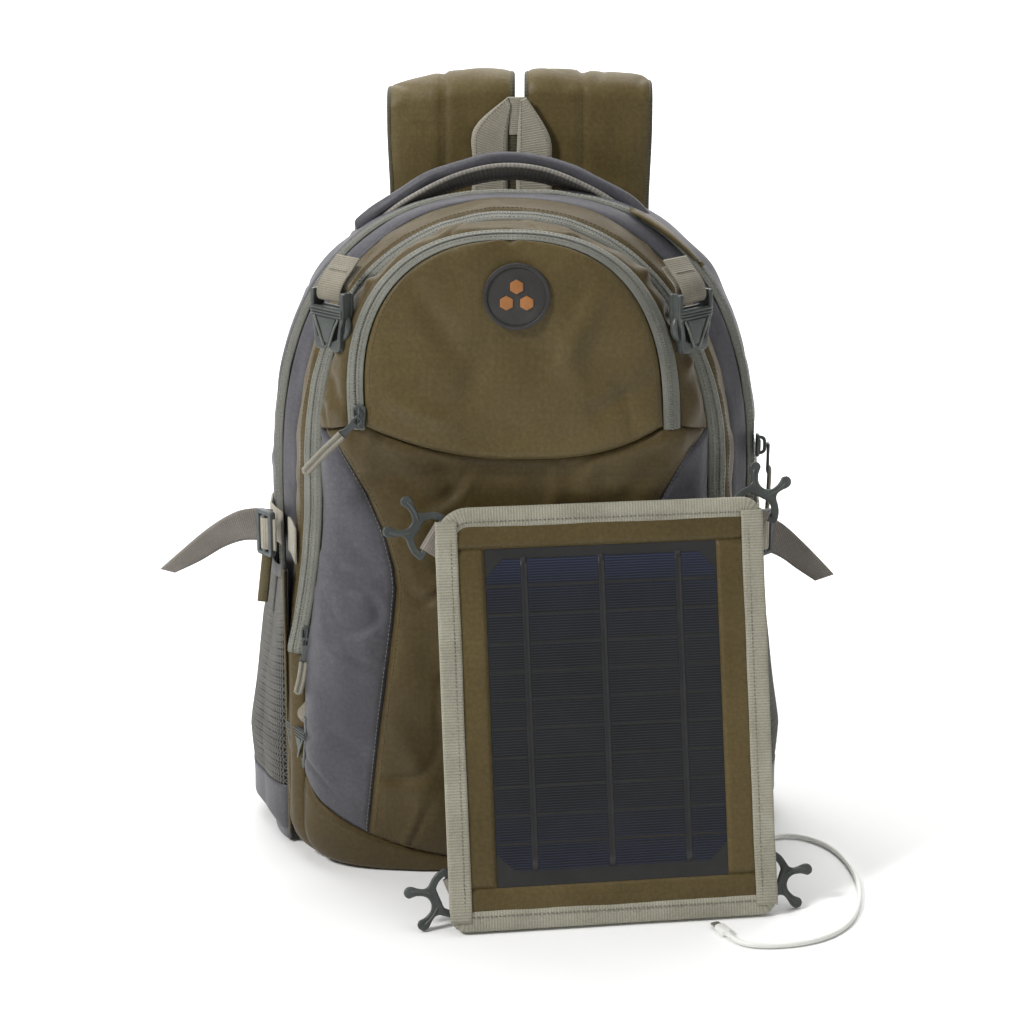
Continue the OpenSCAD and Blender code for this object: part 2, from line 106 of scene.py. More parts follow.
def ripple(p, seed, wave, amount, squeeze=(1, 1, 1)):
    """Gentle random unevenness with about the given wavelength."""
    rng = np.random.default_rng(seed)
    total = 0
    for _ in range(7):
        k = rng.normal(size=3)
        k = k / np.linalg.norm(k) * np.array(squeeze) * TAU / (wave * rng.uniform(0.7, 1.5))
        total = total + np.sin(np.asarray(p) @ k + rng.uniform(0, TAU))
    return amount * total / 3


def fold(p, a, b, width, depth):
    """A crease or ridge that runs from a to b and fades out at its ends."""
    a, b = np.array(a, float), np.array(b, float)
    p = np.asarray(p)
    ab = b - a
    t = np.clip(((p - a) @ ab) / (ab @ ab), 0, 1)
    near = a + t[..., None] * ab
    dist = np.linalg.norm(p - near, axis=-1)
    along = np.sin(np.pi * np.clip(t, 0.02, 0.98)) ** 0.6
    return depth * along * np.exp(-(dist / width) ** 2)


def folds(base, p, rows, gain=1.0):
    """Adds folds, given as rows of start, end, width and depth, to a panel's unevenness."""
    for a, b, width, depth in rows:
        base = base + fold(p, a, b, width, gain * depth)
    return base


def mirrored(rows):
    """The same folds on the left and on the right."""
    return [((side * a[0], *a[1:]), (side * b[0], *b[1:]), width, depth)
            for side in (-1, 1) for a, b, width, depth in rows]


def creases(p, seed, wave, depth):
    """Crisp wandering creases with a soft ridge beside them, stronger in some places than in others."""
    r = ripple(p, seed, wave, 1.0)
    here = smooth(0.0, 0.7, ripple(p, seed + 500, wave * 1.8, 1.0))
    return depth * here * (0.6 * np.exp(-((r - 0.34) / 0.2) ** 2) - np.exp(-(r / 0.15) ** 2))


def puckers(p, seed, wave, depth, centre=300):
    """Short gathers across a strip that runs over an arch, uneven from place to place."""
    p = np.asarray(p)
    run = np.arctan2(p[..., 2] - centre, p[..., 0]) * 130 + 0.35 * p[..., 1]
    line = np.stack([run, 0 * run, 0.12 * p[..., 1]], axis=-1)
    here = smooth(-0.6, 0.9, ripple(line, seed + 300, wave * 4, 1.0))
    return depth * here * (np.abs(np.sin(ripple(line, seed, wave * 2.2, 1.6))) ** 1.5 - 0.4)


# ---------- meshes ----------

def linked(name, data):
    """An object in the scene with the given data."""
    ob = bpy.data.objects.new(name, data)
    scene.collection.objects.link(ob)
    return ob


def moved(me, matrix):
    """Moves a mesh by a matrix whose origin is in mm."""
    m = matrix.copy()
    m.translation = m.translation * MM
    me.transform(m)


def new_object(name, points, faces, look, along=None, smooth_faces=True):
    me = bpy.data.meshes.new(name)
    me.from_pydata((np.asarray(points, float) * MM).tolist(), [], faces)
    me.validate()
    if smooth_faces:
        me.shade_smooth()
    me.materials.append(look)
    if along is not None:
        attribute = me.attributes.new("weave", "FLOAT_VECTOR", "POINT")
        flat = np.zeros((len(points), 3), np.float32)
        flat[:, :2] = np.asarray(along, float) * MM
        attribute.data.foreach_set("vector", flat.ravel())
    return linked(name, me)


def finish(ob, body, slot, *nodes):
    """Hangs a piece under its body's empty and hides its CAD nodes; slot is not used. Cloth across a joint
    has two bodies, start and end, and is only baked in place.
    """
    if isinstance(body, tuple):
        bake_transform(ob)
    else:
        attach(ob, body)
    if nodes:
        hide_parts(*nodes)
    return ob


def apply_modifiers(ob):
    deps = bpy.context.evaluated_depsgraph_get()
    me = bpy.data.meshes.new_from_object(ob.evaluated_get(deps), depsgraph=deps)
    old = ob.data
    ob.modifiers.clear()
    ob.data = me
    bpy.data.meshes.remove(old)
    return ob


def join(name, parts):
    """One object from several, with the first one's looks first."""
    bpy.ops.object.select_all(action="DESELECT")
    for o in parts:
        o.select_set(True)
    bpy.context.view_layer.objects.active = parts[0]
    bpy.ops.object.join()
    parts[0].name = name
    parts[0].data.name = name
    return parts[0]


def quads(rows, cols, wrap=False):
    """Faces of a grid of points, closed round its columns with wrap."""
    out = []
    for i in range(rows - 1):
        for j in range(cols if wrap else cols - 1):
            k = (j + 1) % cols
            out.append((i * cols + j, i * cols + k, (i + 1) * cols + k, (i + 1) * cols + j))
    return out


def grid_normals(g):
    du = np.gradient(g, axis=0)
    dv = np.gradient(g, axis=1)
    return unit(np.cross(du, dv))


def shell(name, grid, look, thick=1.6, flip=False, along=None):
    """A closed sheet: the grid of points is its outer face."""
    n = grid_normals(grid) * (-1 if flip else 1)
    rows, cols = grid.shape[:2]
    outer = grid.reshape(-1, 3)
    inner = (grid - n * thick).reshape(-1, 3)
    size = rows * cols
    faces = quads(rows, cols)
    back = [tuple(size + i for i in reversed(f)) for f in faces]
    edge = (list(range(cols)) + [i * cols + cols - 1 for i in range(1, rows)]
            + [(rows - 1) * cols + j for j in range(cols - 2, -1, -1)]
            + [i * cols for i in range(rows - 2, 0, -1)])
    rim = [(edge[(k + 1) % len(edge)], edge[k], size + edge[k], size + edge[(k + 1) % len(edge)])
           for k in range(len(edge))]
    all_faces = faces + back + rim
    if flip:
        all_faces = [tuple(reversed(f)) for f in all_faces]
    if along is None:
        runs = np.meshgrid(run_along(grid[:, cols // 2]), run_along(grid[rows // 2]), indexing="ij")
        along = np.stack(runs, axis=-1).reshape(-1, 2)
    return new_object(name, np.concatenate([outer, inner]), all_faces, look, np.concatenate([along, along]))


def frames_along(path, up):
    """Side and normal at each point of a path. up is one vector or one for each point."""
    path = np.asarray(path, float)
    d = unit(np.gradient(path, axis=0))
    side = unit(np.cross(d, np.broadcast_to(np.asarray(up, float), path.shape)))
    return side, np.cross(side, d)


def sweep(name, path, profile, up, look, caps=True, scale=None):
    """Sweeps a closed outline (side, normal) along a path. Returns the object."""
    path = np.asarray(path, float)
    profile = np.asarray(profile, float)
    side, normal = frames_along(path, up)
    k = len(profile)
    scale = np.ones(len(path)) if scale is None else scale
    scale = np.asarray(scale, float)
    if scale.ndim == 1:
        scale = np.stack([scale, scale], axis=1)
    pts = (path[:, None] + side[:, None] * (profile[None, :, :1] * scale[:, None, :1])
           + normal[:, None] * (profile[None, :, 1:] * scale[:, None, 1:]))
    run = run_along(path)
    weave = np.stack([np.repeat(run, k), np.tile(profile[:, 0], len(path))], axis=1)
    faces = quads(len(path), k, wrap=True)
    if caps:
        faces += [tuple(reversed(range(k))), tuple((len(path) - 1) * k + j for j in range(k))]
    faces = [tuple(reversed(f)) for f in faces]
    return new_object(name, pts.reshape(-1, 3), faces, look, weave)


def circle(r, sides=10, ry=None):
    a = np.arange(sides) * TAU / sides
    return np.stack([r * np.cos(a), (r if ry is None else ry) * np.sin(a)], axis=1)


def superellipse(a, b, count, n):
    t = np.arange(count) * TAU / count
    return np.stack([a * powered(np.cos(t), 2 / n), b * powered(np.sin(t), 2 / n)], axis=1)


def band_outline(width, thick, edge=0.35, ridges=0):
    """Cross-section of webbing: a flat band with soft edges."""
    h, t, e = width / 2, thick / 2, min(edge, thick / 2.2)
    top = [(-h + e, t), (h - e, t)]
    if ridges:
        xs = np.linspace(-h + e, h - e, ridges)
        top = [(x, t * (1 + 0.12 * (i % 2))) for i, x in enumerate(xs)]
    return np.array(top + [(h, t - e), (h, -t + e), (h - e, -t), (-h + e, -t), (-h, -t + e), (-h, t - e)])


def rounded_box(name, size, look, radius, matrix, segments):
    """A box with bevelled edges. size is (x, y, z) in mm and matrix places it in mm."""
    bm = bmesh.new()
    bmesh.ops.create_cube(bm, size=1)
    bmesh.ops.scale(bm, vec=Vector(size) * MM, verts=bm.verts)
    bmesh.ops.bevel(bm, geom=bm.edges[:], offset=radius * MM, segments=segments, profile=0.6,
                    affect="EDGES")
    me = bpy.data.meshes.new(name)
    bm.to_mesh(me)
    bm.free()
    moved(me, matrix)
    me.shade_smooth()
    me.materials.append(look)
    return linked(name, me)


def plate(name, outline, thick, look, matrix, radius=0.6, holes=(), segments=2):
    """A flat plate with an outline and holes, in its own X and Y, thick along Z, with bevelled edges."""
    curve = bpy.data.curves.new(name, "CURVE")
    curve.dimensions = "2D"
    curve.fill_mode = "BOTH"
    curve.extrude = (thick / 2 - radius) * MM
    curve.bevel_depth = radius * MM
    curve.bevel_resolution = segments
    curve.offset = -radius * MM
    for ring in [outline, *holes]:
        s = curve.splines.new("POLY")
        s.points.add(len(ring) - 1)
        for q, (x, y) in zip(s.points, ring):
            q.co = (x * MM, y * MM, 0, 1)
        s.use_cyclic_u = True
    tmp = linked(name, curve)
    deps = bpy.context.evaluated_depsgraph_get()
    me = bpy.data.meshes.new_from_object(tmp.evaluated_get(deps), depsgraph=deps)
    bpy.data.objects.remove(tmp)
    bpy.data.curves.remove(curve)
    moved(me, matrix)
    me.materials.clear()
    me.materials.append(look)
    me.shade_smooth()
    bm = bmesh.new()
    bm.from_mesh(me)
    bmesh.ops.remove_doubles(bm, verts=bm.verts, dist=1e-6)
    bm.to_mesh(me)
    bm.free()
    me.set_sharp_from_angle(angle=math.radians(40))
    return linked(name, me)


def place(origin, x, y, z):
    """Matrix with the given axes and origin, in mm."""
    m = Matrix((x, y, z)).transposed().to_4x4()
    m.translation = Vector(origin)
    return m


def stitches(name, path, normal, look, pitch=3.2, size=(2.1, 0.6, 0.35), lift=0.1):
    """A row of single stitches along a path, each a short rounded thread."""
    path = np.asarray(path, float)
    count = max(2, int(length_of(path) / pitch))
    at = resample(path, count + 1)
    n = unit(np.broadcast_to(np.asarray(normal, float), path.shape))
    nn = resample(np.hstack([path, n]), count + 1)[:, 3:]
    pts, faces = [], []
    for i in range(count):
        d = unit(at[i + 1] - at[i])
        up = unit(nn[i])
        side = np.cross(d, up)
        mid = (at[i] + at[i + 1]) / 2
        base = len(pts)
        for t, w, h in ((-0.5, 0.3, -0.2), (-0.3, 1, 0.8), (0.3, 1, 0.8), (0.5, 0.3, -0.2)):
            c = mid + d * t * size[0]
            pts += [c - side * w * size[1] / 2 - up * size[2] * 0.4, c + up * (h * size[2] + lift),
                    c + side * w * size[1] / 2 - up * size[2] * 0.4]
        for r in range(3):
            o = base + r * 3
            faces += [(o, o + 1, o + 4, o + 3), (o + 1, o + 2, o + 5, o + 4), (o + 2, o, o + 3, o + 5)]
        faces += [(base, base + 2, base + 1), (base + 9, base + 10, base + 11)]
    return new_object(name, pts, faces, look)


# ---------- looks ----------

BLACK, WHITE = (0.0, 0.0, 0.0), (1.0, 1.0, 1.0)


def linear(rgb):
    """A colour of 0 to 255 as the renderer's own values."""
    c = np.array(rgb, float) / 255
    return tuple(np.where(c <= 0.04045, c / 12.92, ((c + 0.055) / 1.055) ** 2.4)) + (1.0,)


class Look:
    """A node material under construction."""

    def __init__(self, name, rough=0.6, specular=0.35, sheen=0.0, coat=0.0, metallic=0.0):
        self.material = bpy.data.materials.new(name)
        self.material.use_nodes = True
        self.nodes = self.material.node_tree.nodes
        self.links = self.material.node_tree.links
        self.nodes.clear()
        out = self.nodes.new("ShaderNodeOutputMaterial")
        self.shader = self.nodes.new("ShaderNodeBsdfPrincipled")
        self.links.new(self.shader.outputs[0], out.inputs[0])
        s = self.shader.inputs
        s["Roughness"].default_value = rough
        s["Specular IOR Level"].default_value = specular
        s["Sheen Weight"].default_value = sheen
        s["Sheen Roughness"].default_value = 0.5
        s["Coat Weight"].default_value = coat
        s["Coat Roughness"].default_value = 0.08
        s["Metallic"].default_value = metallic

    def value(self, v, socket):
        if isinstance(v, bpy.types.NodeSocket):
            self.links.new(v, socket)
        else:
            socket.default_value = v

    def math(self, op, a, b=0.0, c=None):
        n = self.nodes.new("ShaderNodeMath")
        n.operation = op
        self.value(a, n.inputs[0])
        self.value(b, n.inputs[1])
        if c is not None:
            self.value(c, n.inputs[2])
        return n.outputs[0]

    def position(self):
        n = self.nodes.new("ShaderNodeTexCoord")
        return n.outputs["Object"]

    def weave(self):
        n = self.nodes.new("ShaderNodeAttribute")
        n.attribute_name = "weave"
        return n.outputs["Vector"]

    def split(self, v):
        n = self.nodes.new("ShaderNodeSeparateXYZ")
        self.links.new(v, n.inputs[0])
        return n.outputs

    def noise(self, where, scale, detail=3.0, rough=0.55):
        n = self.nodes.new("ShaderNodeTexNoise")
        n.inputs["Scale"].default_value = scale
        n.inputs["Detail"].default_value = detail
        n.inputs["Roughness"].default_value = rough
        self.links.new(where, n.inputs["Vector"])
        return n.outputs["Fac"]

    def speckle(self, where, coarse, fine, share):
        """Soft blotches with finer ones among them. share is the part of the soft ones."""
        soft = self.math("MULTIPLY", self.noise(where, coarse, 4.0), share)
        sharp = self.math("MULTIPLY", self.noise(where, fine, 2.0), 1 - share)
        return self.math("ADD", soft, sharp)

    def wave(self, x, pitch):
        """Sine from 0 to 1 of a coordinate in metres, with the pitch in millimetres."""
        k = self.math("MULTIPLY_ADD", x, TAU / (pitch * MM), 0.0)
        return self.math("MULTIPLY_ADD", self.math("SINE", k), 0.5, 0.5)

    def ramp(self, fac, stops):
        n = self.nodes.new("ShaderNodeValToRGB")
        e = n.color_ramp.elements
        while len(e) < len(stops):
            e.new(0.5)
        for k, (at, col) in enumerate(stops):
            e[k].position = at
            e[k].color = linear(col) if max(col) > 1.001 else (*col, 1)
        self.links.new(fac, n.inputs[0])
        return n.outputs[0]

    def mix(self, fac, a, b, how="MIX"):
        n = self.nodes.new("ShaderNodeMix")
        n.data_type = "RGBA"
        n.blend_type = how
        self.value(fac, n.inputs[0])
        self.value(a, n.inputs[6])
        self.value(b, n.inputs[7])
        return n.outputs[2]

    def bump(self, height, strength, distance, under=None):
        n = self.nodes.new("ShaderNodeBump")
        n.inputs["Strength"].default_value = strength
        n.inputs["Distance"].default_value = distance * MM
        self.links.new(height, n.inputs["Height"])
        if under is not None:
            self.links.new(under, n.inputs["Normal"])
        return n.outputs[0]

    def done(self, colour, normal=None, rough=None):
        self.value(colour, self.shader.inputs["Base Color"])
        if normal is not None:
            self.links.new(normal, self.shader.inputs["Normal"])
        if rough is not None:
            self.links.new(rough, self.shader.inputs["Roughness"])
        return self.material


def fabric_look(name, rgb, dark, light, rough=0.5):
    """Plain-woven polyester: fine threads both ways, a faint larger grid, soft blotches."""
    pitch, grid = 1.25, 5.2
    k = Look(name, rough=rough, specular=0.28, sheen=0.03)
    pos = k.position()
    x, y, z = k.split(pos)
    across = k.math("ADD", x, k.math("MULTIPLY", y, 0.83))
    up = k.math("ADD", z, k.math("MULTIPLY", y, 0.31))
    a, b = k.wave(across, pitch), k.wave(up, pitch)
    threads = k.math("ADD", k.math("MULTIPLY", a, b),
                     k.math("MULTIPLY", k.math("SUBTRACT", 1, a), k.math("SUBTRACT", 1, b)))
    big = k.math("MAXIMUM", k.math("POWER", k.wave(across, grid), 9.0),
                 k.math("POWER", k.wave(up, grid), 9.0))
    colour = k.ramp(k.speckle(pos, 11, 420, 0.62), [(0.30, dark), (0.5, rgb), (0.72, light)])
    shade = k.ramp(threads, [(0.0, (0.86, 0.86, 0.86)), (1.0, WHITE)])
    colour = k.mix(1.0, colour, shade, "MULTIPLY")
    colour = k.mix(k.math("MULTIPLY", big, 0.16), colour, linear(dark))
    normal = k.bump(threads, 0.22, 0.22)
    normal = k.bump(k.noise(pos, 60, 3.0), 0.42, 1.5, normal)
    wear = k.math("MULTIPLY_ADD", k.noise(pos, 30, 3.0), 0.18, rough - 0.09)
    return k.done(colour, normal, wear)


def webbing_look(name, rgb, dark, light, rib=1.7):
    """Ribbed nylon webbing: ribs across the band, fine threads along it."""
    k = Look(name, rough=0.62, specular=0.4, sheen=0.1)
    along, across, _ = k.split(k.weave())
    ribs = k.wave(along, rib)
    threads = k.wave(across, 1.1)
    weave = k.math("MULTIPLY_ADD", threads, 0.3, k.math("MULTIPLY", ribs, 0.7))
    pos = k.position()
    colour = k.ramp(k.speckle(pos, 40, 700, 0.6), [(0.28, dark), (0.5, rgb), (0.74, light)])
    shade = k.ramp(weave, [(0.05, (0.62, 0.62, 0.62)), (0.6, WHITE)])
    colour = k.mix(0.85, colour, shade, "MULTIPLY")
    normal = k.bump(weave, 0.55, 0.35)
    normal = k.bump(k.noise(pos, 160, 3.0), 0.2, 0.6, normal)
    return k.done(colour, normal)


def plastic_look(name, rgb, dark, light, rough=0.42, grain=900, metallic=0.0):
    """Moulded nylon with a fine grain, lighter on its sharp edges."""
    k = Look(name, rough=rough, specular=0.45, metallic=metallic)
    pos = k.position()
    colour = k.ramp(k.speckle(pos, 55, grain, 0.7), [(0.3, dark), (0.52, rgb), (0.74, light)])
    edge = k.nodes.new("ShaderNodeNewGeometry").outputs["Pointiness"]
    edge_lightening = k.ramp(edge, [(0.49, BLACK), (0.58, WHITE)])
    colour = k.mix(k.math("MULTIPLY", edge_lightening, 0.35), colour, linear(light))
    normal = k.bump(k.noise(pos, grain, 3.0), 0.25, 0.12)
    normal = k.bump(k.noise(pos, 70, 2.0), 0.12, 0.5, normal)
    scuffs = k.math("MULTIPLY_ADD", k.noise(pos, 140, 4.0), 0.25, rough - 0.12)
    return k.done(colour, normal, scuffs)


# Each look's middle, dark and light colours
olive_look = fabric_look("olive_fabric_look", (87, 74, 42), (70, 59, 32), (102, 89, 55))
# Painted shade: a darker copy of the olive fabric for the lower front, base lip, front gusset, its zip ends
# and the ring, which take less light from above
shaded_olive_look = fabric_look("shaded_olive_look", (75, 62, 32), (60, 49, 24), (89, 76, 43))
strap_fabric_look = fabric_look("strap_fabric_look", (92, 79, 45), (75, 63, 34), (107, 94, 58))
slate_look = fabric_look("slate_fabric_look", (77, 76, 81), (65, 64, 69), (93, 92, 97))
lining_look = fabric_look("lining_look", (46, 45, 44), (38, 37, 36), (58, 56, 55), rough=0.7)
taupe_look = webbing_look("taupe_webbing_look", (158, 152, 136), (140, 134, 118), (176, 170, 154))
binding_look = webbing_look("binding_tape_look", (156, 153, 136), (136, 133, 117), (173, 171, 154), rib=1.9)
zip_look = webbing_look("zip_tape_look", (116, 117, 108), (102, 103, 95), (132, 133, 124), rib=1.1)
handle_web_look = webbing_look("handle_webbing_look", (138, 134, 126), (112, 108, 100), (158, 154, 144),
                               rib=2.8)
pull_look = webbing_look("pull_cord_look", (138, 134, 120), (120, 116, 103), (156, 151, 137), rib=1.3)
black_tape_look = webbing_look("elastic_look", (58, 57, 54), (45, 44, 42), (72, 70, 66), rib=1.4)
coil_look = plastic_look("zip_coil_look", (106, 107, 99), (90, 91, 84), (126, 127, 118), rough=0.5)
grey_plastic_look = plastic_look("grey_plastic_look", (84, 88, 89), (70, 74, 75), (112, 116, 116))
dark_plastic_look = plastic_look("dark_plastic_look", (60, 64, 62), (48, 52, 50), (88, 93, 90), rough=0.38)
thread_look = plastic_look("thread_look", (74, 66, 42), (60, 54, 34), (92, 84, 58), rough=0.7, grain=2000)
pale_thread_look = plastic_look("pale_thread_look", (122, 120, 108), (104, 102, 92), (142, 140, 128),
                                rough=0.7, grain=2000)
rubber_look = plastic_look("badge_rubber_look", (44, 43, 42), (36, 35, 34), (62, 60, 58), rough=0.5)
badge_mark_look = plastic_look("badge_mark_look", (150, 98, 52), (132, 82, 42), (170, 116, 66), rough=0.5)
white_look = plastic_look("lead_sheath_look", (226, 226, 221), (214, 214, 208), (238, 238, 234), rough=0.35)
net_look = plastic_look("pocket_net_look", (100, 99, 95), (84, 83, 79), (118, 117, 112), rough=0.65,
                        grain=1600)


def pad_mesh_look():
    """Spacer mesh on the back pads: small pits in rows, darkened with painted shade."""
    k = Look("pad_mesh_look", rough=0.75, specular=0.25, sheen=0.2)
    pos = k.position()
    v = k.nodes.new("ShaderNodeTexVoronoi")
    v.inputs["Scale"].default_value = 330
    v.inputs["Randomness"].default_value = 0.25
    k.links.new(pos, v.inputs["Vector"])
    pits = k.ramp(v.outputs["Distance"], [(0.12, BLACK), (0.42, WHITE)])
    colour = k.ramp(k.noise(pos, 60, 4.0), [(0.3, (66, 66, 64)), (0.7, (84, 84, 82))])
    # Painted shade: the pits darkened to near black
    colour = k.mix(k.math("SUBTRACT", 1.0, pits), colour, linear((22, 22, 22)))
    return k.done(colour, k.bump(pits, 0.8, 0.8))


pad_look = pad_mesh_look()


# ---------- stage ----------

def area_light(name, where, aim, size, power):
    data = bpy.data.lights.new(name, "AREA")
    data.shape = "RECTANGLE"
    data.size, data.size_y = size
    data.energy = power
    ob = linked(name, data)
    ob.location = where
    ob.rotation_euler = (Vector(aim) - Vector(where)).to_track_quat("-Z", "Y").to_euler()


def make_stage():
    """White floor that bends up into a wall behind the object, and the lights."""
    k = Look("floor_look", rough=0.85, specular=0.2)
    pos = k.position()
    k.done(k.ramp(k.noise(pos, 3, 3.0), [(0.35, (240, 240, 239)), (0.65, (246, 246, 245))]),
           k.bump(k.noise(pos, 300, 2.0), 0.03, 0.2))
    half_width, front, wall, height, bend = 4000.0, -4500.0, 2700.0, 3000.0, 600.0
    foot = wall - bend
    line = [(front, 0.0), (foot, 0.0)]
    line += [(foot + bend * math.sin(a), bend - bend * math.cos(a))
             for a in map(math.radians, range(9, 91, 9))]
    line += [(wall, height)]
    pts = [(x, y, z) for y, z in line for x in (-half_width, half_width)]
    faces = [(2 * i, 2 * i + 1, 2 * i + 3, 2 * i + 2) for i in range(len(line) - 1)]
    floor = new_object("floor", pts, faces, k.material)
    world = bpy.data.worlds.new("studio")
    world.use_nodes = True
    world.node_tree.nodes["Background"].inputs[0].default_value = (1, 1, 1, 1)
    world.node_tree.nodes["Background"].inputs[1].default_value = 0.17
    scene.world = world
    area_light("key", (-1.9, -1.25, 2.1), (0, 0, 0.25), (0.6, 0.6), 72)
    area_light("fill", (1.9, -1.7, 1.3), (0, 0, 0.25), (1.6, 1.6), 10)
    area_light("top", (0.2, 0.2, 2.4), (0, -0.05, 0.3), (1.6, 1.2), 11)
    area_light("backdrop", (0, 0.55, 2.2), (0, 1.5, 0.9), (2.6, 0.8), 26)
    area_light("wall", (0, 1.6, 2.5), (0, 2.5, 0.5), (3.2, 0.9), 75)


def make_camera():
    """The photo's camera: 1.8 m away and 16.5 degrees above the level."""
    aim = Vector((-0.002, 0.0, 0.236))
    away, rise = 1.8, math.radians(16.5)
    data = bpy.data.cameras.new("camera")
    data.lens = 90
    data.sensor_width = 36
    cam = linked("camera", data)
    cam.location = aim + Vector((0, -math.cos(rise), math.sin(rise))) * away
    cam.rotation_euler = (aim - cam.location).to_track_quat("-Z", "Y").to_euler()
    scene.camera = cam


make_camera()
make_stage()


# ---------- charging lead ----------

# The same points as the lead's CAD route
LEAD_ROUTE = [
    (123.6, -134.6, 57.8), (124, -137.2, 49), (124.7, -138.6, 39), (126.4, -137.2, 27), (129.6, -131, 16),
    (134.6, -120.6, 7), (141, -105, 2.6), (148, -87, 2.2), (157, -68, 2.2), (168, -50, 2.2),
    (180, -36, 2.2), (194, -29, 2.2), (209, -33, 2.2), (223, -48, 2.2), (232, -72, 2.2),
    (236, -104, 2.2), (233, -138, 2.2), (224, -168, 2.2), (209, -189, 2.2), (190, -201, 2.2),
    (168, -206, 2.2), (152, -204, 2.2), (144, -197, 2.4), (140, -189, 2.6)]
LEAD_D = 3.6


def pouch_frame():
    """The pouch's own axes: X across it, Y into its back, Z up its face."""
    m = Matrix.Rotation(math.radians(8), 4, "Z") @ Matrix.Rotation(math.radians(-16.5), 4, "X")
    m.translation = Vector((-42, -189, 2.3))
    return m


POUCH = pouch_frame()


def make_lead():
    path = spline(LEAD_ROUTE, 6)
    lead = sweep("charging_lead_cord", path, circle(LEAD_D / 2, 12), (0.05, 0.1, 1), white_look)
    finish(lead, "pouch", "lead_sheath", "charging_lead")
    # Slim plug on the floor, with a tapered relief round the lead's end
    turn = math.radians(25)
    ahead = np.array([-math.sin(turn), math.cos(turn), 0])
    start = np.array([139.8, -188.5, 2.6])
    outline = superellipse(3.8, 2.5, 24, 3.2)
    stations = [(-7.5, 0.50), (-5, 0.53), (-2.5, 0.56), (-0.4, 0.62), (0, 0.92), (0.7, 1), (10.2, 1),
                (10.9, 0.9)]
    body = sweep("lead_plug_body", [start + ahead * s for s, _ in stations], outline, (0, 0, 1), white_look,
                 scale=[k for _, k in stations])
    tip_path = [start + ahead * s for s in (10.8, 11.2, 16.8, 17.4)]
    tip = sweep("lead_plug_tip", tip_path, superellipse(3.2, 0.8, 20, 5), (0, 0, 1), metal_look,
                scale=[0.96, 1, 1, 0.85])
    plug = join("lead_plug_piece", [body, tip])
    finish(plug, "pouch", "lead_sheath", "lead_plug")
    # Plug in the junction box, with its relief
    box_plug = rounded_box("seated_plug", (16, 8, 21.5), white_look, 1.8,
                           POUCH @ Matrix.Translation((171.5, 13.75, 72.75)), 3)
    shell_part = rounded_box("seated_plug_shell", (12, 4.5, 13.5), metal_look, 0.4,
                             POUCH @ Matrix.Translation((171.5, 13.75, 89.5)), 1)
    relief = sweep("seated_plug_relief", path[:9], circle(1.0, 14), (1, 0.1, 0), white_look,
                   scale=np.linspace(3.1, 1.95, 9) + 0.22 * (np.arange(9) % 2))
    seated = join("usb_plug_piece", [box_plug, shell_part, relief])
    finish(seated, "pouch", "dark_plastic", "usb_plug")


metal_look = plastic_look("plug_metal_look", (176, 176, 172), (160, 160, 156), (196, 196, 192), rough=0.3,
                          metallic=0.9)

make_lead()


# ---------- the bag's form ----------

# Sections from the back to the inner zip: depth at the sides and at the top, half width, top, knee,
# roundness, how much the foot flares out, how much its depth moves forward at the foot
SECTIONS = np.array([
    (91.5, 91.5, 154.0, 438.5, 250, 2.50, 0, 0),
    (79.0, 79.0, 166.5, 448.5, 250, 2.60, 0, 0),
    (52.0, 52.0, 171.0, 455.5, 250, 2.62, -4, 0),
    (25.5, 21.5, 169.8, 459.7, 250, 2.50, -4, 0),
    (16.5, 13.5, 164.8, 460.0, 250, 2.46, -1, 0),
    (-3.0, -3.0, 152.5, 459.0, 250, 2.33, 7, 4),
    (-39.0, -34.0, 145.0, 455.5, 275, 2.15, 14, 14),
    (-49.0, -46.5, 131.5, 452.0, 290, 2.10, 15, 20),
    (-67.0, -61.0, 121.0, 451.8, 312, 2.25, 8, 0),
    (-80.5, -75.0, 110.5, 450.5, 330, 2.40, 0, 0),
    (-85.5, -85.0, 99.0, 445.5, 335, 2.40, 0, 0)])
BACK, ZIP_BACK, ZIP_FRONT, BAND, OUTER_BACK, OUTER_FRONT, INNER_BACK, INNER_FRONT = 0, 3, 4, 5, 6, 7, 9, 10
CENTRE = np.array([0, 15, 235])
SIDES = ((-1, "left"), (1, "right"))
# Heights at which zips and the ring begin, and at which the fill below two zips ends
MAIN_ZIP_FOOT, OUTER_ZIP_FOOT, POCKET_ZIP_FOOT, RING_FOOT = 136, 147, 317.6, 310
MAIN_FILL_TOP, OUTER_FILL_TOP = 144, 153


def section(s):
    """The section's values at a whole or broken index."""
    i = int(min(math.floor(s), len(SECTIONS) - 2))
    t = s - i
    rows = [SECTIONS[min(max(k, 0), len(SECTIONS) - 1)] for k in (i - 1, i, i + 1, i + 2)]
    return 0.5 * curve_between(*rows, t) + 0.5 * ((1 - t) * rows[1] + t * rows[2])


def foot_flare(z):
    """How much of a section's flare there is at a height."""
    t = np.clip((265 - np.asarray(z, float)) / 115, 0, 1)
    return t ** 1.7


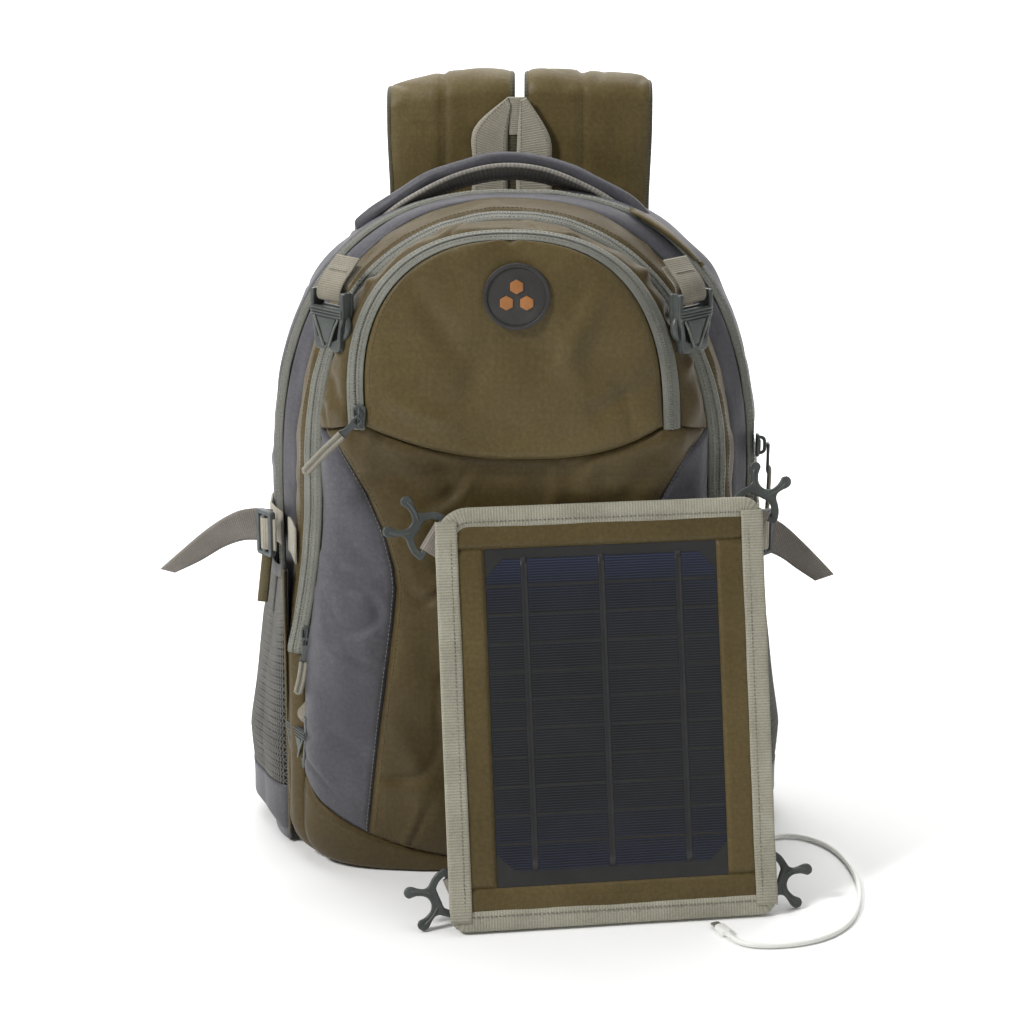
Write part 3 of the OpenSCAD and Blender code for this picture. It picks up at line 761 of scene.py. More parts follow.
def arch_line(s, count, start=None):
    """Points of section s from its left foot over the top to its right foot, or from the height start."""
    y_side, y_top, hw, top, knee, n, flare, forward = section(s)
    r, foot = 26.0, 3.0
    a = np.radians(np.linspace(270, 180, 9))
    left = np.stack([-hw + r + r * np.cos(a), foot + r + r * np.sin(a)], axis=1)
    side = np.stack([np.full(30, -hw), np.linspace(foot + r, knee, 30)], axis=1)
    t = np.linspace(np.pi, 0, 181)
    dome = np.stack([hw * powered(np.cos(t), 2 / n), knee + (top - knee) * np.abs(np.sin(t)) ** (2 / n)],
                    axis=1)
    right = np.concatenate([side[::-1], left[::-1]]) * (-1, 1)
    line = np.concatenate([left, side[1:], dome[1:], right[1:]])
    if start is not None:
        line = resample(line, 2400)
        line = line[line[:, 1] >= start - 0.01]
    x, z = line[:, 0], line[:, 1]
    x = x + np.sign(x) * flare * foot_flare(z)
    y = y_side + (y_top - y_side) * smooth(knee, top, z) - forward * (1 - smooth(0, 150, z))
    if s > ZIP_FRONT:
        x = x - pocket_lean(z) * min(1, s - ZIP_FRONT)
    return resample(np.stack([x, y, z], axis=1), count)


def pocket_lean(z):
    """How far the front's upper part stands off to the left at a height."""
    return 3.2 * smooth(290, 410, z)


def outward(grid):
    """A panel's normals, away from the bag."""
    n = grid_normals(grid)
    return -n if float(((grid - CENTRE) * n).sum()) < 0 else n


def faces_inward(grid):
    """True where the grid's own normals point into the bag."""
    return float(((grid - CENTRE) * grid_normals(grid)).sum()) < 0


def edge_distance(grid, axis, far):
    """Distance of each point from one edge of its grid."""
    step = np.linalg.norm(np.diff(grid, axis=axis), axis=2)
    pad = [(0, 0), (0, 0)]
    pad[axis] = (1, 0)
    run = np.cumsum(np.pad(step, pad), axis=axis)
    total = run[:, -1:] if axis == 1 else run[-1:, :]
    return (total - run) if far else run


def puff(grid, crown=2.0, tuck=1.8, reach=2.2, sewn="lr", wrinkles=None):
    """Fills a panel out between its seams. sewn names the sewn edges: l, r across it and t, b along it."""
    n = outward(grid)
    near = np.full(grid.shape[:2], 1e6)
    for key, axis, far in (("l", 1, False), ("r", 1, True), ("t", 0, False), ("b", 0, True)):
        if key in sewn:
            near = np.minimum(near, edge_distance(grid, axis, far))
    width = np.minimum(near, 60.0)
    lift = crown * (1 - np.exp(-width / 9.0)) - tuck * np.exp(-(near / reach) ** 2)
    if wrinkles is not None:
        lift = lift + wrinkles(grid) * (1 - np.exp(-near / 5.0))
    return grid + n * lift[..., None]


def loft(s0, s1, count, across, start=None):
    """Grid over the bag between two sections."""
    return np.stack([arch_line(s, count, start) for s in np.linspace(s0, s1, across)], axis=1)


def feet(grid, below):
    """The two ends of an arched strip below a height, with their names."""
    for side, name in SIDES:
        yield name, grid[(grid[:, 0, 2] < below) & (grid[:, 0, 0] * side > 0)]


def cloth(name, grid, look, slot, body="bag", nodes=(), thick=1.5):
    """A fabric panel from its grid, with its outer face outward."""
    return finish(shell(name, grid, look, thick, faces_inward(grid)), body, slot, *nodes)


def tape_teeth(name, path, normal):
    """The teeth along one edge of a zip."""
    return stitches(name, path, normal, coil_look, pitch=1.75, size=(1.15, 1.9, 0.75), lift=0.0)


def tape_row(name, path, normal):
    """The stitching that holds a zip's tape."""
    return stitches(name, path, normal, pale_thread_look, pitch=2.9, size=(1.9, 0.55, 0.3))


def zip_band(name, s0, s1, start, lift=0.9):
    """Zip tape between two sections with its two rows of teeth. Returns the parts."""
    columns = 15
    grid = loft(s0, s1, 420, columns, start)
    n = outward(grid)
    v = np.linspace(0, 1, columns)
    shape = lift * (1 - np.abs(2 * v - 1) ** 3) - 0.7 * np.exp(-((v - 0.5) / 0.06) ** 2)
    shape = shape - 1.1 * np.exp(-(np.minimum(v, 1 - v) / 0.07) ** 2)
    grid = grid + n * (shape[None, :, None] + ripple(grid, 31, 26, 0.22)[..., None])
    n = outward(grid)
    parts = [shell(name, grid, zip_look, 1.0, faces_inward(grid))]
    middle, from_middle, teeth_apart = columns // 2, 4, 1.35
    across = unit(grid[:, middle + 1] - grid[:, middle - 1])
    line = grid[:, middle] + n[:, middle] * 0.55
    for side in (-1, 1):
        parts.append(tape_teeth(f"{name}_teeth{side}", line + across * side * teeth_apart, n[:, middle]))
        row = middle + side * from_middle
        parts.append(tape_row(f"{name}_row{side}", grid[:, row] + n[:, row] * 0.1, n[:, row]))
    return parts


# ---------- main compartment ----------

def side_wrinkles(g):
    w = ripple(g, 3, 150, 1.6, (1, 1, 0.5)) + ripple(g, 4, 48, 0.7) + creases(g, 5, 70, 1.4)
    return folds(w, g, mirrored([((168, 62, 330), (170, 36, 210), 9, 2.2),
                                 ((168, 72, 240), (170, 40, 300), 7, -1.8),
                                 ((150, 60, 380), (120, 40, 425), 8, 1.8),
                                 ((168, 66, 215), (168, 28, 225), 6, -2.6)]))


def make_main():
    grid = loft(BACK, ZIP_BACK, 330, 26)
    cloth("main_side_panel", puff(grid, 1.6, 1.8, 2.4, "lr", side_wrinkles), slate_look, "slate_fabric",
          nodes=("main_compartment",))
    parts = zip_band("main_zip_tape", ZIP_BACK, ZIP_FRONT, MAIN_ZIP_FOOT, lift=0.9)
    finish(join("main_zip_piece", parts), "bag", "zip_tape", "main_zip")
    grid = loft(ZIP_FRONT, BAND, 330, 12)
    cloth("top_band_panel", puff(grid, 1.2, 1.6, 2.0, "lr", lambda g: ripple(g, 8, 60, 0.8) + ripple(g, 9,
            24, 0.25)),
          slate_look, "slate_fabric", nodes=("top_band",))
    # Slate fill below the zip's ends
    for name, strip in feet(loft(ZIP_BACK, ZIP_FRONT, 330, 6), MAIN_FILL_TOP):
        cloth(f"side_fill_{name}", strip, slate_look, "slate_fabric")


def dome_rows(hw, top, knee, n, bottom, rows, cols):
    """Grid over an arch-shaped area in the front view: x and z of rows that close up towards the top."""
    t = np.linspace(0, 1, rows)
    xs, zs = [], []
    v = np.linspace(-1, 1, cols)
    v = np.sin(v * np.pi / 2) * 0.35 + v * 0.65
    for k in t:
        level = np.sin(k * np.pi / 2 * 0.985)
        low = np.array([bottom(x) for x in v * hw])
        z = low + (top - low) * level
        rise = np.clip((z - knee) / (top - knee), 0, 1)
        half = hw * (1 - rise ** n) ** (1 / n)
        xs.append(v * half)
        zs.append(z)
    return np.array(xs), np.array(zs)


def arch_sheet(hw, top, knee, n, bottom, rows, cols):
    """x and z of an arch-shaped grid, and how near each point is to its edge: 1 on it."""
    x, z = dome_rows(hw, top, knee, n, bottom, rows, cols)
    rise = np.clip((z - knee) / (top - knee), 0, None)
    return x, z, np.clip((np.abs(x / hw) ** n + rise ** n) ** (1 / n), 0, 1)


def make_back():
    x, z, rho = arch_sheet(152.0, 437.0, 250, 2.5, lambda x: 5.0, 70, 60)
    y = 92.5 + 3.8 * (1 - rho ** 8) + ripple(np.stack([x, 0 * x, z], -1), 12, 70, 0.6)
    grid = np.stack([x, y, z], axis=-1)
    cloth("back_panel_fabric", grid, slate_look, "slate_fabric", nodes=("back_panel",), thick=2.0)
    line = arch_line(0, 260)
    line = line[line[:, 2] > 14] + (0, 1.6, 0)
    pipe = sweep("back_piping_cord", line, circle(2.3, 10), (0, 1, 0), zip_look)
    finish(pipe, "bag", "zip_tape", "back_piping")


# Middle (x, z) and half size of the pads
PADS = [(-62, 285, 49, 94), (62, 285, 49, 94), (0, 110, 111, 61)]


def outline_pad(pad, y1, grooves, groove):
    """A foam pad with sewn grooves, on the back."""
    cx, cz, a, b = pad
    y0, rows, k = 96.6, 56, 132
    r = np.linspace(0, 1, rows)
    t = np.linspace(0, TAU, k, endpoint=False)
    ex, ez = powered(np.cos(t), 0.5), powered(np.sin(t), 0.5)
    x = cx + a * r[:, None] * ex[None]
    z = cz + b * r[:, None] * ez[None]
    lift = (1 - r[:, None] ** 7) ** 0.5 * np.ones_like(x)
    for kind, at in grooves:
        d = np.abs((z if kind == "z" else x) - at)
        lift = lift - groove * np.exp(-(d / 3.4) ** 2) * (r[:, None] < 0.97)
    y = y0 + (y1 - y0) * np.clip(lift, 0.05, 1.2) + ripple(np.stack([x, 0 * x, z], -1), 17, 45, 0.35)
    pts = np.stack([x, y, z], axis=-1).reshape(-1, 3)
    skirt = np.stack([x[-1], np.full(k, y0 - 0.6), z[-1]], axis=-1)
    faces = quads(rows, k, wrap=True)
    n0 = len(pts)
    faces += [((rows - 1) * k + j, (rows - 1) * k + (j + 1) % k, n0 + (j + 1) % k, n0 + j)
              for j in range(k)]
    faces += [tuple(n0 + j for j in range(k))]
    return new_object("pad", np.concatenate([pts, skirt]), faces, pad_look)


def make_pads():
    parts = [outline_pad(pad, 106.6, [("z", 238), ("z", 285), ("z", 332)], 0.45) for pad in PADS[:2]]
    parts.append(outline_pad(PADS[2], 108.4, [("x", -48), ("x", 48), ("z", 110)], 0.42))
    t = np.linspace(0, TAU, 121)
    for cx, cz, a, b in PADS:
        ring = np.stack([cx + a * powered(np.cos(t), 0.5), np.full(121, 97.6),
                         cz + b * powered(np.sin(t), 0.5)], axis=1)
        parts.append(sweep("pad_rim", ring, circle(1.5, 8), (0, 1, 0), black_tape_look, caps=False))
    pads = finish(join("back_pads_piece", parts), "bag", "pad_mesh", "back_pads")


make_main()
make_back()
make_pads()


# ---------- the bag's front ----------

def edge_half(z):
    """Half width of the front face at a height, with its rounded foot."""
    z = np.asarray(z, float)
    low = np.clip((29 - z) / 26, 0, 1)
    return 131.5 + 15 * foot_flare(z) - 26 + 26 * np.sqrt(np.maximum(1 - low ** 2, 0.0004))


def front_depth(x, z):
    """Depth of the front face below the pocket."""
    x, z = np.abs(np.asarray(x, float)), np.asarray(z, float)
    rim = -49 - 20 * (1 - smooth(0, 150, z))
    middle = np.interp(z, [0, 25, 60, 140, 200, 250, 285, 300],
                       [-86, -91, -93, -91.5, -87, -80.5, -79, -81])
    rho = np.clip(x / edge_half(z), 0, 1)
    low = rim + (middle - rim) * (1 - rho ** 6) ** 0.75
    high = np.interp(x, [0, 60, 99, 110.5, 121, 131.5], [-87, -86.6, -85, -80.5, -67, -49])
    k = smooth(284, 312, z)
    return low * (1 - k) + high * k


def seam_half(z):
    """Inner edge of the side crescents."""
    return np.interp(z, [0, 26, 70, 112, 129, 158, 185, 207, 221, 244, 271, 301, 307, 312],
                     [104, 102, 97, 92, 89.5, 85.5, 82, 80, 81.5, 88, 100, 119, 126, 131.5])


def base_seam(x):
    return 8 + 34 * (np.abs(x) / 125) ** 2.2 + 10 * smooth(135, 152, np.abs(x))


def pocket_seam(x):
    x = np.asarray(x, float)
    reach = np.minimum(np.abs(x) / 97, 1.0)
    return 299 + 21 * np.where(x < 0, reach ** 2, reach ** 2.8)


def between(left, right, bottom, top, rows, cols):
    """Grid on the front face between two upright edges (x of z) and two level ones (z of x)."""
    t, u = np.meshgrid(np.linspace(1, 0, rows), np.linspace(0, 1, cols), indexing="ij")
    z = 20 + 280 * t
    for _ in range(7):
        x = left(z) + (right(z) - left(z)) * u
        z = bottom(x) + (top(x) - bottom(x)) * t
    x = left(z) + (right(z) - left(z)) * u
    return np.stack([x, front_depth(x, z), z], axis=-1)


# Pitch and size of the seams' stitches, and the rows on the bag
SEAM = (3.0, (2.2, 0.62, 0.34))
seams = []


def seam_row(grid, axis, index, look=thread_look):
    """A row of stitches along one line of a panel's grid."""
    n = outward(grid)
    line, up = (grid[index], n[index]) if axis == 0 else (grid[:, index], n[:, index])
    seams.append(stitches("seam_row", line, up, look, *SEAM))


def gusset_wrinkles(g):
    w = ripple(g, 11, 90, 1.2) + ripple(g, 12, 32, 0.7) + creases(g, 13, 46, 1.2) + puckers(g, 14, 26, 2.2)
    return folds(w, g, mirrored([((148, -12, 300), (146, -34, 250), 5, 1.6),
                                 ((100, -8, 420), (92, -32, 412), 6, -1.6)]))


def ring_wrinkles(g):
    w = ripple(g, 21, 70, 2.0) + ripple(g, 22, 26, 0.9) + creases(g, 23, 40, 2.2) + puckers(g, 24, 24, 2.8)
    return folds(w, g, (
            ((-118, -60, 392), (-92, -76, 376), 5, -2.8), ((-104, -58, 420), (-80, -76, 402), 5, 2.2),
            ((-128, -54, 352), (-108, -78, 330), 6, -2.2), ((-60, -52, 450), (-48, -74, 438), 6, -1.8),
            ((112, -56, 396), (84, -78, 384), 5, -3.0), ((98, -54, 424), (70, -76, 412), 5, 2.4),
            ((124, -54, 366), (104, -78, 352), 6, 2.2), ((60, -52, 448), (40, -76, 438), 6, -2.0),
            ((10, -52, 452), (0, -74, 448), 7, -1.2), ((-124, -52, 372), (-104, -76, 360), 4, 1.8)), 1.7)


def panel_wrinkles(g):
    w = ripple(g, 41, 120, 2.4) + ripple(g, 42, 44, 0.9) + creases(g, 43, 70, 2.2)
    # Room below the pocket's slider
    w = w + fold(g, (-101, -84, 336), (-101, -84, 290), 12, -5.0)
    return folds(w, g, (((-92, -88, 300), (-60, -85, 268), 8, -2.4),
                        ((-70, -86, 262), (-96, -86, 200), 9, 1.8),
                        ((96, -84, 300), (70, -84, 262), 8, -2.2),
                        ((-84, -90, 120), (-60, -92, 60), 10, 1.6),
                        ((84, -90, 130), (66, -92, 66), 10, 1.6),
                        ((-50, -84, 296), (-36, -82, 262), 7, -1.4)), 1.8)


def crescent_wrinkles(g):
    w = ripple(g, 51, 80, 1.6) + ripple(g, 52, 30, 0.6) + creases(g, 53, 60, 1.6)
    return folds(w, g, mirrored([((128, -75, 250), (92, -84, 214), 7, -2.2),
                                 ((138, -74, 170), (96, -90, 150), 8, 2.0),
                                 ((140, -80, 110), (98, -92, 86), 7, -1.6)]))


def flap_wrinkles(g):
    w = ripple(g, 61, 95, 1.8) + ripple(g, 62, 36, 0.7) + creases(g, 63, 62, 1.9)
    return folds(w, g, (((-70, -88, 420), (-30, -90, 360), 9, -1.8),
                        ((60, -88, 425), (26, -90, 350), 8, 1.6),
                        ((-86, -88, 340), (-40, -90, 322), 7, 1.8),
                        ((88, -88, 350), (46, -90, 326), 7, -1.8),
                        ((-20, -90, 384), (-34, -90, 330), 8, -1.2),
                        ((30, -90, 392), (44, -90, 340), 8, 1.2)), 1.8)


def make_front_body():
    grid = puff(loft(BAND, OUTER_BACK, 330, 16), 1.4, 1.7, 2.2, "lr", gusset_wrinkles)
    cloth("front_gusset_panel", grid, shaded_olive_look, "olive_fabric", nodes=("front_compartment",))
    seam_row(grid, 1, 2)
    seam_row(grid, 1, -3)
    parts = zip_band("outer_zip_tape", OUTER_BACK, OUTER_FRONT, OUTER_ZIP_FOOT, lift=1.1)
    finish(join("outer_zip_piece", parts), "bag", "zip_tape", "outer_zip")
    for name, strip in feet(loft(OUTER_BACK, OUTER_FRONT, 330, 7), OUTER_FILL_TOP):
        cloth(f"zip_end_{name}", puff(strip, 1.0, 1.2, 2.0, "lr"), shaded_olive_look, "olive_fabric")
    # Ring between the outer zip and the pocket's zip
    across = np.linspace(OUTER_FRONT, INNER_BACK, 22)
    ring = np.stack([arch_line(s, 300, RING_FOOT + 4.6 * (s - OUTER_FRONT)) for s in across], axis=1)
    grid = puff(ring, 2.6, 1.8, 2.2, "lr", ring_wrinkles)
    cloth("front_ring_panel", grid, shaded_olive_look, "olive_fabric")
    seam_row(grid, 1, 1)
    seam_row(grid, 1, -2)


def make_lower_front():
    def top(x):
        return np.where(np.abs(x) > 110.5, 320 - 8.5 * (np.abs(x) - 110.5) / 21, pocket_seam(x))

    grid = between(lambda z: -seam_half(z), seam_half, base_seam, top, 130, 90)
    grid = puff(grid, 2.4, 1.8, 2.4, "lrtb", panel_wrinkles)
    cloth("lower_front_fabric", grid, shaded_olive_look, "olive_fabric", nodes=("lower_front_panel",))
    seam_row(grid, 1, 2)
    seam_row(grid, 1, -3)
    seam_row(grid, 0, -3)
    for side, name in SIDES:
        edges = [lambda z, half=half: side * half(z) for half in (seam_half, edge_half)][::side]
        grid = between(*edges, base_seam, lambda x: 311 - 0 * x, 120, 26)
        grid = puff(grid, 2.6, 1.8, 2.4, "lrtb", crescent_wrinkles)
        cloth(f"crescent_fabric_{name}", grid, slate_look, "slate_fabric", nodes=(f"crescent_{name}",))
        seam_row(grid, 1, -2 if side < 0 else 1, pale_thread_look)
    # Base: a lip up to the base seam, above the sole
    grid = between(lambda z: -edge_half(z), edge_half, lambda x: 3.0 + 0 * x, base_seam, 22, 150)
    grid = np.concatenate([grid, grid[-1:] + (0, 2.0, -1.6), grid[-1:] + (0, 6.0, -2.2)])
    grid = puff(grid, 1.4, 1.4, 2.2, "t", lambda g: ripple(g, 71, 60, 0.5))
    grid[..., 2] = np.maximum(grid[..., 2], 0.4)
    cloth("base_lip_fabric", grid, shaded_olive_look, "olive_fabric")
    seam_row(grid, 0, 3)


def make_sole():
    """The bag's underside, turned up a little at its edge."""
    t = np.linspace(0, TAU, 160, endpoint=False)
    ex, ey = powered(np.cos(t), 0.32), powered(np.sin(t), 0.32)
    r = np.concatenate([np.linspace(0.05, 0.9, 9), [0.95, 0.98, 1.0]])
    half = np.where(ey < 0, 120.0, 140.0)
    x = r[:, None] * half * ex
    y = 3.0 + r[:, None] * 87.5 * ey
    z = 1.1 + 2.4 * smooth(0.9, 1, r)[:, None] + 0 * x
    grid = np.stack([x, y, z], axis=-1)
    n = len(t)
    pts = np.concatenate([grid.reshape(-1, 3), grid[-1] + (0, 0, 1.5), [(0, 3, 1.1)]])
    faces = quads(len(r), n, wrap=True) + [((len(r) - 1) * n + j, (len(r) - 1) * n + (j + 1) % n,
                                            len(r) * n + (j + 1) % n, len(r) * n + j) for j in range(n)]
    faces += [(len(pts) - 1, (j + 1) % n, j) for j in range(n)]
    finish(new_object("sole_fabric", pts, [tuple(reversed(f)) for f in faces], olive_look), "bag",
           "olive_fabric",
           "base_panel")


FLAP_BEND = ("bag", "flap", (0, -0.085, 0.300), (0, -0.085, 0.324))


def make_flap():
    """The front pocket's flap, its zip and the lining behind it."""
    x, z, rho = arch_sheet(99.0, 445.0, 335, 2.4, lambda x: float(pocket_seam(x)), 90, 90)
    y = -85.0 - 4.6 * (1 - rho ** 3) ** 0.7 - 1.6 * np.exp(-((z - pocket_seam(x)) / 9) ** 2)
    grid = np.stack([x - pocket_lean(z), y, z], axis=-1)
    grid = puff(grid, 1.2, 1.5, 2.0, "lrtb", flap_wrinkles)
    cloth("pocket_flap_fabric", grid, olive_look, "olive_fabric", FLAP_BEND, ("pocket_flap",))
    # The pocket's zip: its outer half on the bag, its inner half on the flap
    for name, s0, s1, body, node in (("pocket_zip_outer", INNER_BACK, 9.49, "bag", "pocket_zip"),
                                     ("pocket_zip_inner", 9.51, INNER_FRONT, FLAP_BEND, "flap_zip_tape")):
        strip = np.stack([arch_line(s, 300, POCKET_ZIP_FOOT) for s in np.linspace(s0, s1, 8)], axis=1)
        m = outward(strip)
        v = np.linspace(0, 1, 8) if body == "bag" else np.linspace(1, 0, 8)
        strip = strip + m * (1.3 * np.sin(v * np.pi * 0.5) - 0.4)[None, :, None]
        m = outward(strip)
        near = -1 if body == "bag" else 0
        parts = [shell(name, strip, zip_look, 1.0, faces_inward(strip)),
                 tape_teeth(name + "_teeth", strip[:, near] + m[:, near] * 0.5, m[:, near]),
                 tape_row(name + "_row", strip[:, 3] + m[:, 3] * 0.1, m[:, 3])]
        finish(join(name + "_piece", parts), body, "zip_tape", node)
    # Edge stitching of the flap, finished like it
    n_out = outward(grid)
    rows = [stitches("flap_row", grid[:, j], n_out[:, j], thread_look, *SEAM) for j in (3, -4)]
    finish(join("flap_seam_stitches", rows), FLAP_BEND, "olive_fabric")
    # Lining of the pocket behind the flap
    x, z, rho = arch_sheet(104.0, 447.5, 334, 2.4, lambda x: float(pocket_seam(x)) - 2, 50, 50)
    y = -80.5 + 9.5 * (1 - rho ** 8)
    tray = np.stack([x - pocket_lean(z), y, z], axis=-1)
    cloth("pocket_lining", tray, lining_look, "lining", nodes=("front_pocket",), thick=1.2)


def make_badge():
    """A round rubber badge with a raised ring and three plain hexagons."""
    def on_flap(y, z):
        return place((1, y, z), (1, 0, 0), (0, 0.02, 1), (0, -1, 0.02))

    rim, hole = circle(22, 64), circle(19.4, 64)
    parts = [plate("badge_disc", rim, 2.6, rubber_look, on_flap(-90.4, 409), 0.5),
             plate("badge_ring", rim, 1.6, rubber_look, on_flap(-92.0, 409.03), 0.5, [hole])]
    for dx, dz in ((0, 6.5), (-6.6, -4.2), (6.6, -4.2)):
        hexagon = [(dx + 4.9 * math.cos(a), dz + 4.9 * math.sin(a))
                   for a in np.arange(6) * TAU / 6 + TAU / 12]
        parts.append(plate("badge_mark", hexagon, 1.2, badge_mark_look, on_flap(-91.9, 409.03), 0.35))
    finish(join("badge_piece", parts), "flap", "badge_rubber", "flap_badge")


def make_zip_cover():
    """Olive wedge that covers the main zip's right end at the top."""
    arc = arch_line((ZIP_BACK + ZIP_FRONT) / 2, 420)
    line = [p for p in arc if p[0] > 78 and p[2] > 404]
    rows = []
    for k, p in enumerate(line):
        t = k / (len(line) - 1)
        half = 12 * math.sin(math.pi * min(1, 0.12 + 0.95 * t)) ** 0.6
        rows.append([p + np.array([0.9, half * v, 2.4 - 1.2 * abs(v) ** 2]) for v in np.linspace(-1, 1, 9)])
    cloth("zip_cover_fabric", puff(np.array(rows), 0.8, 0.6, 1.6, "lrtb"), olive_look, "olive_fabric")


make_front_body()
make_lower_front()
make_sole()
make_flap()
make_badge()
make_zip_cover()
finish(join("front_seam_stitches", seams), "bag", "olive_fabric")


# ---------- the solar pouch ----------

PW, PH, PT = 220.0, 280.0, 7.0
WIN_U, WIN_V = 32.0, 28.0


def solar_cell_look():
    """Cells under clear sheet: fine pale fingers on near-black, bluer towards the top with a painted
    reflection, and a painted bluish band near the foot.
    """
    k = Look("solar_cell_look", rough=0.36, specular=0.3, coat=0.12)
    up = k.split(k.weave())[0]
    line = k.math("POWER", k.wave(up, 1.75), 3.0)
    pos = k.position()
    base = k.ramp(k.noise(pos, 26, 4.0), [(0.3, (24, 25, 27)), (0.7, (32, 33, 36))])
    tall = k.math("MULTIPLY_ADD", up, 1 / 0.28, 0.0)
    # Finger colour by height: pale fingers, with painted bluish reflection near the foot and near the top
    finger_and_reflection = k.ramp(tall, [(0.02, (52, 56, 68)), (0.16, (48, 54, 76)), (0.30, (50, 53, 58)),
                           (0.60, (54, 56, 58)),
                           (0.80, (50, 55, 68)), (0.90, (62, 70, 98))])
    colour = k.mix(k.math("MULTIPLY", line, 0.8), base, finger_and_reflection)
    # Painted reflection: the cells turn bluer towards the top
    top_reflection = k.ramp(tall, [(0.78, BLACK), (0.86, WHITE)])
    colour = k.mix(k.math("MULTIPLY", top_reflection, 0.14), colour, linear((46, 54, 86)))
    return k.done(colour, k.bump(line, 0.12, 0.1))


def solar_laminate_look():
    """The clear sheet's border over dark backing."""
    k = Look("laminate_look", rough=0.46, specular=0.3, coat=0.08)
    pos = k.position()
    return k.done(k.ramp(k.speckle(pos, 40, 900, 0.7), [(0.3, (38, 38, 38)), (0.7, (48, 48, 47))]),
                  k.bump(k.noise(pos, 420, 2.0), 0.12, 0.25))


solar_look = solar_cell_look()
laminate_look = solar_laminate_look()
bus_look = plastic_look("bus_bar_look", (36, 36, 37), (30, 30, 31), (43, 43, 44), rough=0.4, grain=900)
binding_thread_look = plastic_look("binding_thread_look", (112, 110, 98), (96, 94, 84), (134, 132, 120),
                                   rough=0.7,
                                   grain=2000)
strap_tail_look = webbing_look("tail_webbing_look", (126, 119, 110), (106, 100, 92), (144, 137, 128),
                               rib=1.5)


def to_world(points):
    """Pouch coordinates (across, into its back, up its face) to world ones."""
    m = np.array(POUCH)
    return np.asarray(points, float) @ m[:3, :3].T + m[:3, 3]


FACE = unit(np.array(POUCH)[:3, :3] @ np.array([0, -1, 0]))


def face_panel(name, u0, u1, v0, v1, w, look, bulge=0.7, seed=1, back=False):
    """A piece of cloth on the pouch's face or back, filled out between its seams."""
    cols, rows = (max(8, int(size / 3)) for size in (u1 - u0, v1 - v0))
    v, u = np.meshgrid(np.linspace(v1, v0, rows), np.linspace(u0, u1, cols), indexing="ij")
    near = np.minimum(np.minimum(u - u0, u1 - u), np.minimum(v - v0, v1 - v))
    lift = bulge * (1 - np.exp(-near / 3.5)) - 0.7 * np.exp(-(near / 1.3) ** 2)
    flat = np.stack([u, 0 * u, v], axis=-1)
    if seed is not None:
        lift = lift + (ripple(flat, seed, 46, 0.35) + ripple(flat, seed + 1, 17, 0.12)) * (1
                - np.exp(-near / 3))
    grid = to_world(np.stack([u, w + (lift if back else -lift), v], axis=-1))
    along = np.stack([v.ravel(), u.ravel()], axis=-1)
    outer = -FACE if back else FACE
    return shell(name, grid, look, 0.9, float(grid_normals(grid)[rows // 2, cols // 2] @ outer) < 0, along)


def rounded_outline(u0, v0, u1, v1, radii, counts):
    """A rectangle with rounded corners, from the lower left one anticlockwise."""
    corners = ((u0, v0, 1, 1, 180), (u1, v0, -1, 1, 270), (u1, v1, -1, -1, 0), (u0, v1, 1, -1, 90))
    out = []
    for (u, v, right, up, turn), r, count in zip(corners, radii, counts):
        cu, cv = u + right * r, v + up * r
        out += [(cu + r * math.cos(t), cv + r * math.sin(t))
                for t in np.radians(np.linspace(turn, turn + 90, count))]
    return out


def make_pouch_cloth():
    parts = [face_panel("frame_top", 10, PW - 10, PH - WIN_V, PH - 10, 0.9, olive_look, seed=101),
             face_panel("frame_bottom", 10, PW - 10, 10, WIN_V, 0.9, olive_look, seed=103),
             face_panel("frame_left", 10, WIN_U, WIN_V, PH - WIN_V, 0.9, olive_look, seed=105),
             face_panel("frame_right", PW - WIN_U, PW - 10, WIN_V, PH - WIN_V, 0.9, olive_look, seed=107)]
    finish(join("pouch_frame_fabric", parts), "pouch", "olive_fabric", "pouch_fabric")
    finish(face_panel("pouch_back_fabric", 9, PW - 9, 9, PH - 9, 6.0, olive_look, 0.8, 111, back=True),
           "pouch",
           "olive_fabric", "pouch_backing")
    # Binding round the edge: a folded tape, its front 14 mm wide
    half = 7.0
    outline = rounded_outline(half, half, PW - half, PH - half, (4, 4, 6, 15), (7, 7, 8, 12))
    path = resample([(u, 3.4, v) for u, v in outline + [outline[0]]], 560)
    wander = ripple(path, 121, 60, 0.45) + ripple(path, 122, 21, 0.16)
    path[:, 1] += 0.25 * wander
    path = to_world(path)
    profile = np.array([(-6.9, 1.2), (-6.7, 2.5), (-5.6, 3.45), (-2, 3.8), (2, 3.8), (5.8, 3.5), (6.9, 3.0),
                        (7.05, 2.2),
                        (7.05, -2.2), (6.9, -3.0), (5.8, -3.5), (0, -3.7), (-5.6, -3.4), (-6.7, -2.4),
                        (-6.9, -1.2)])
    parts = [sweep("binding_loop", path[:-1], profile, FACE, binding_look)]
    # The side tapes lie over the top and bottom ones, with folded ends
    for u, seed in ((half, 131), (PW - half, 133)):
        v = np.linspace(6.5, PH - 9, 150)
        sway = ripple(np.stack([v * 0 + u, v * 0, v], axis=-1), seed, 70, 0.5)
        lift = -0.15 - 1.0 * smooth(PH - 26, PH - 12, v) - 0.5 * smooth(24, 10, v)
        tape = to_world(np.stack([u + sway * 0.6, 0.05 + lift + 0.25 * sway, v], axis=1))
        parts.append(sweep("side_tape", tape, band_outline(14.6, 1.3, 0.5, 9), FACE, binding_look))
    inset = half + 2.8
    inner = rounded_outline(inset, inset, PW - inset, PH - inset, (3, 3, 4, 12), (5, 5, 6, 9))
    row = resample([(u, -0.75, v) for u, v in inner + [inner[0]]], 700)
    parts.append(stitches("binding_row", to_world(row), FACE, binding_thread_look, 2.9, (2.0, 0.7, 0.4),
                          lift=0.25))
    finish(join("pouch_binding_tape", parts), "pouch", "webbing", "pouch_binding")


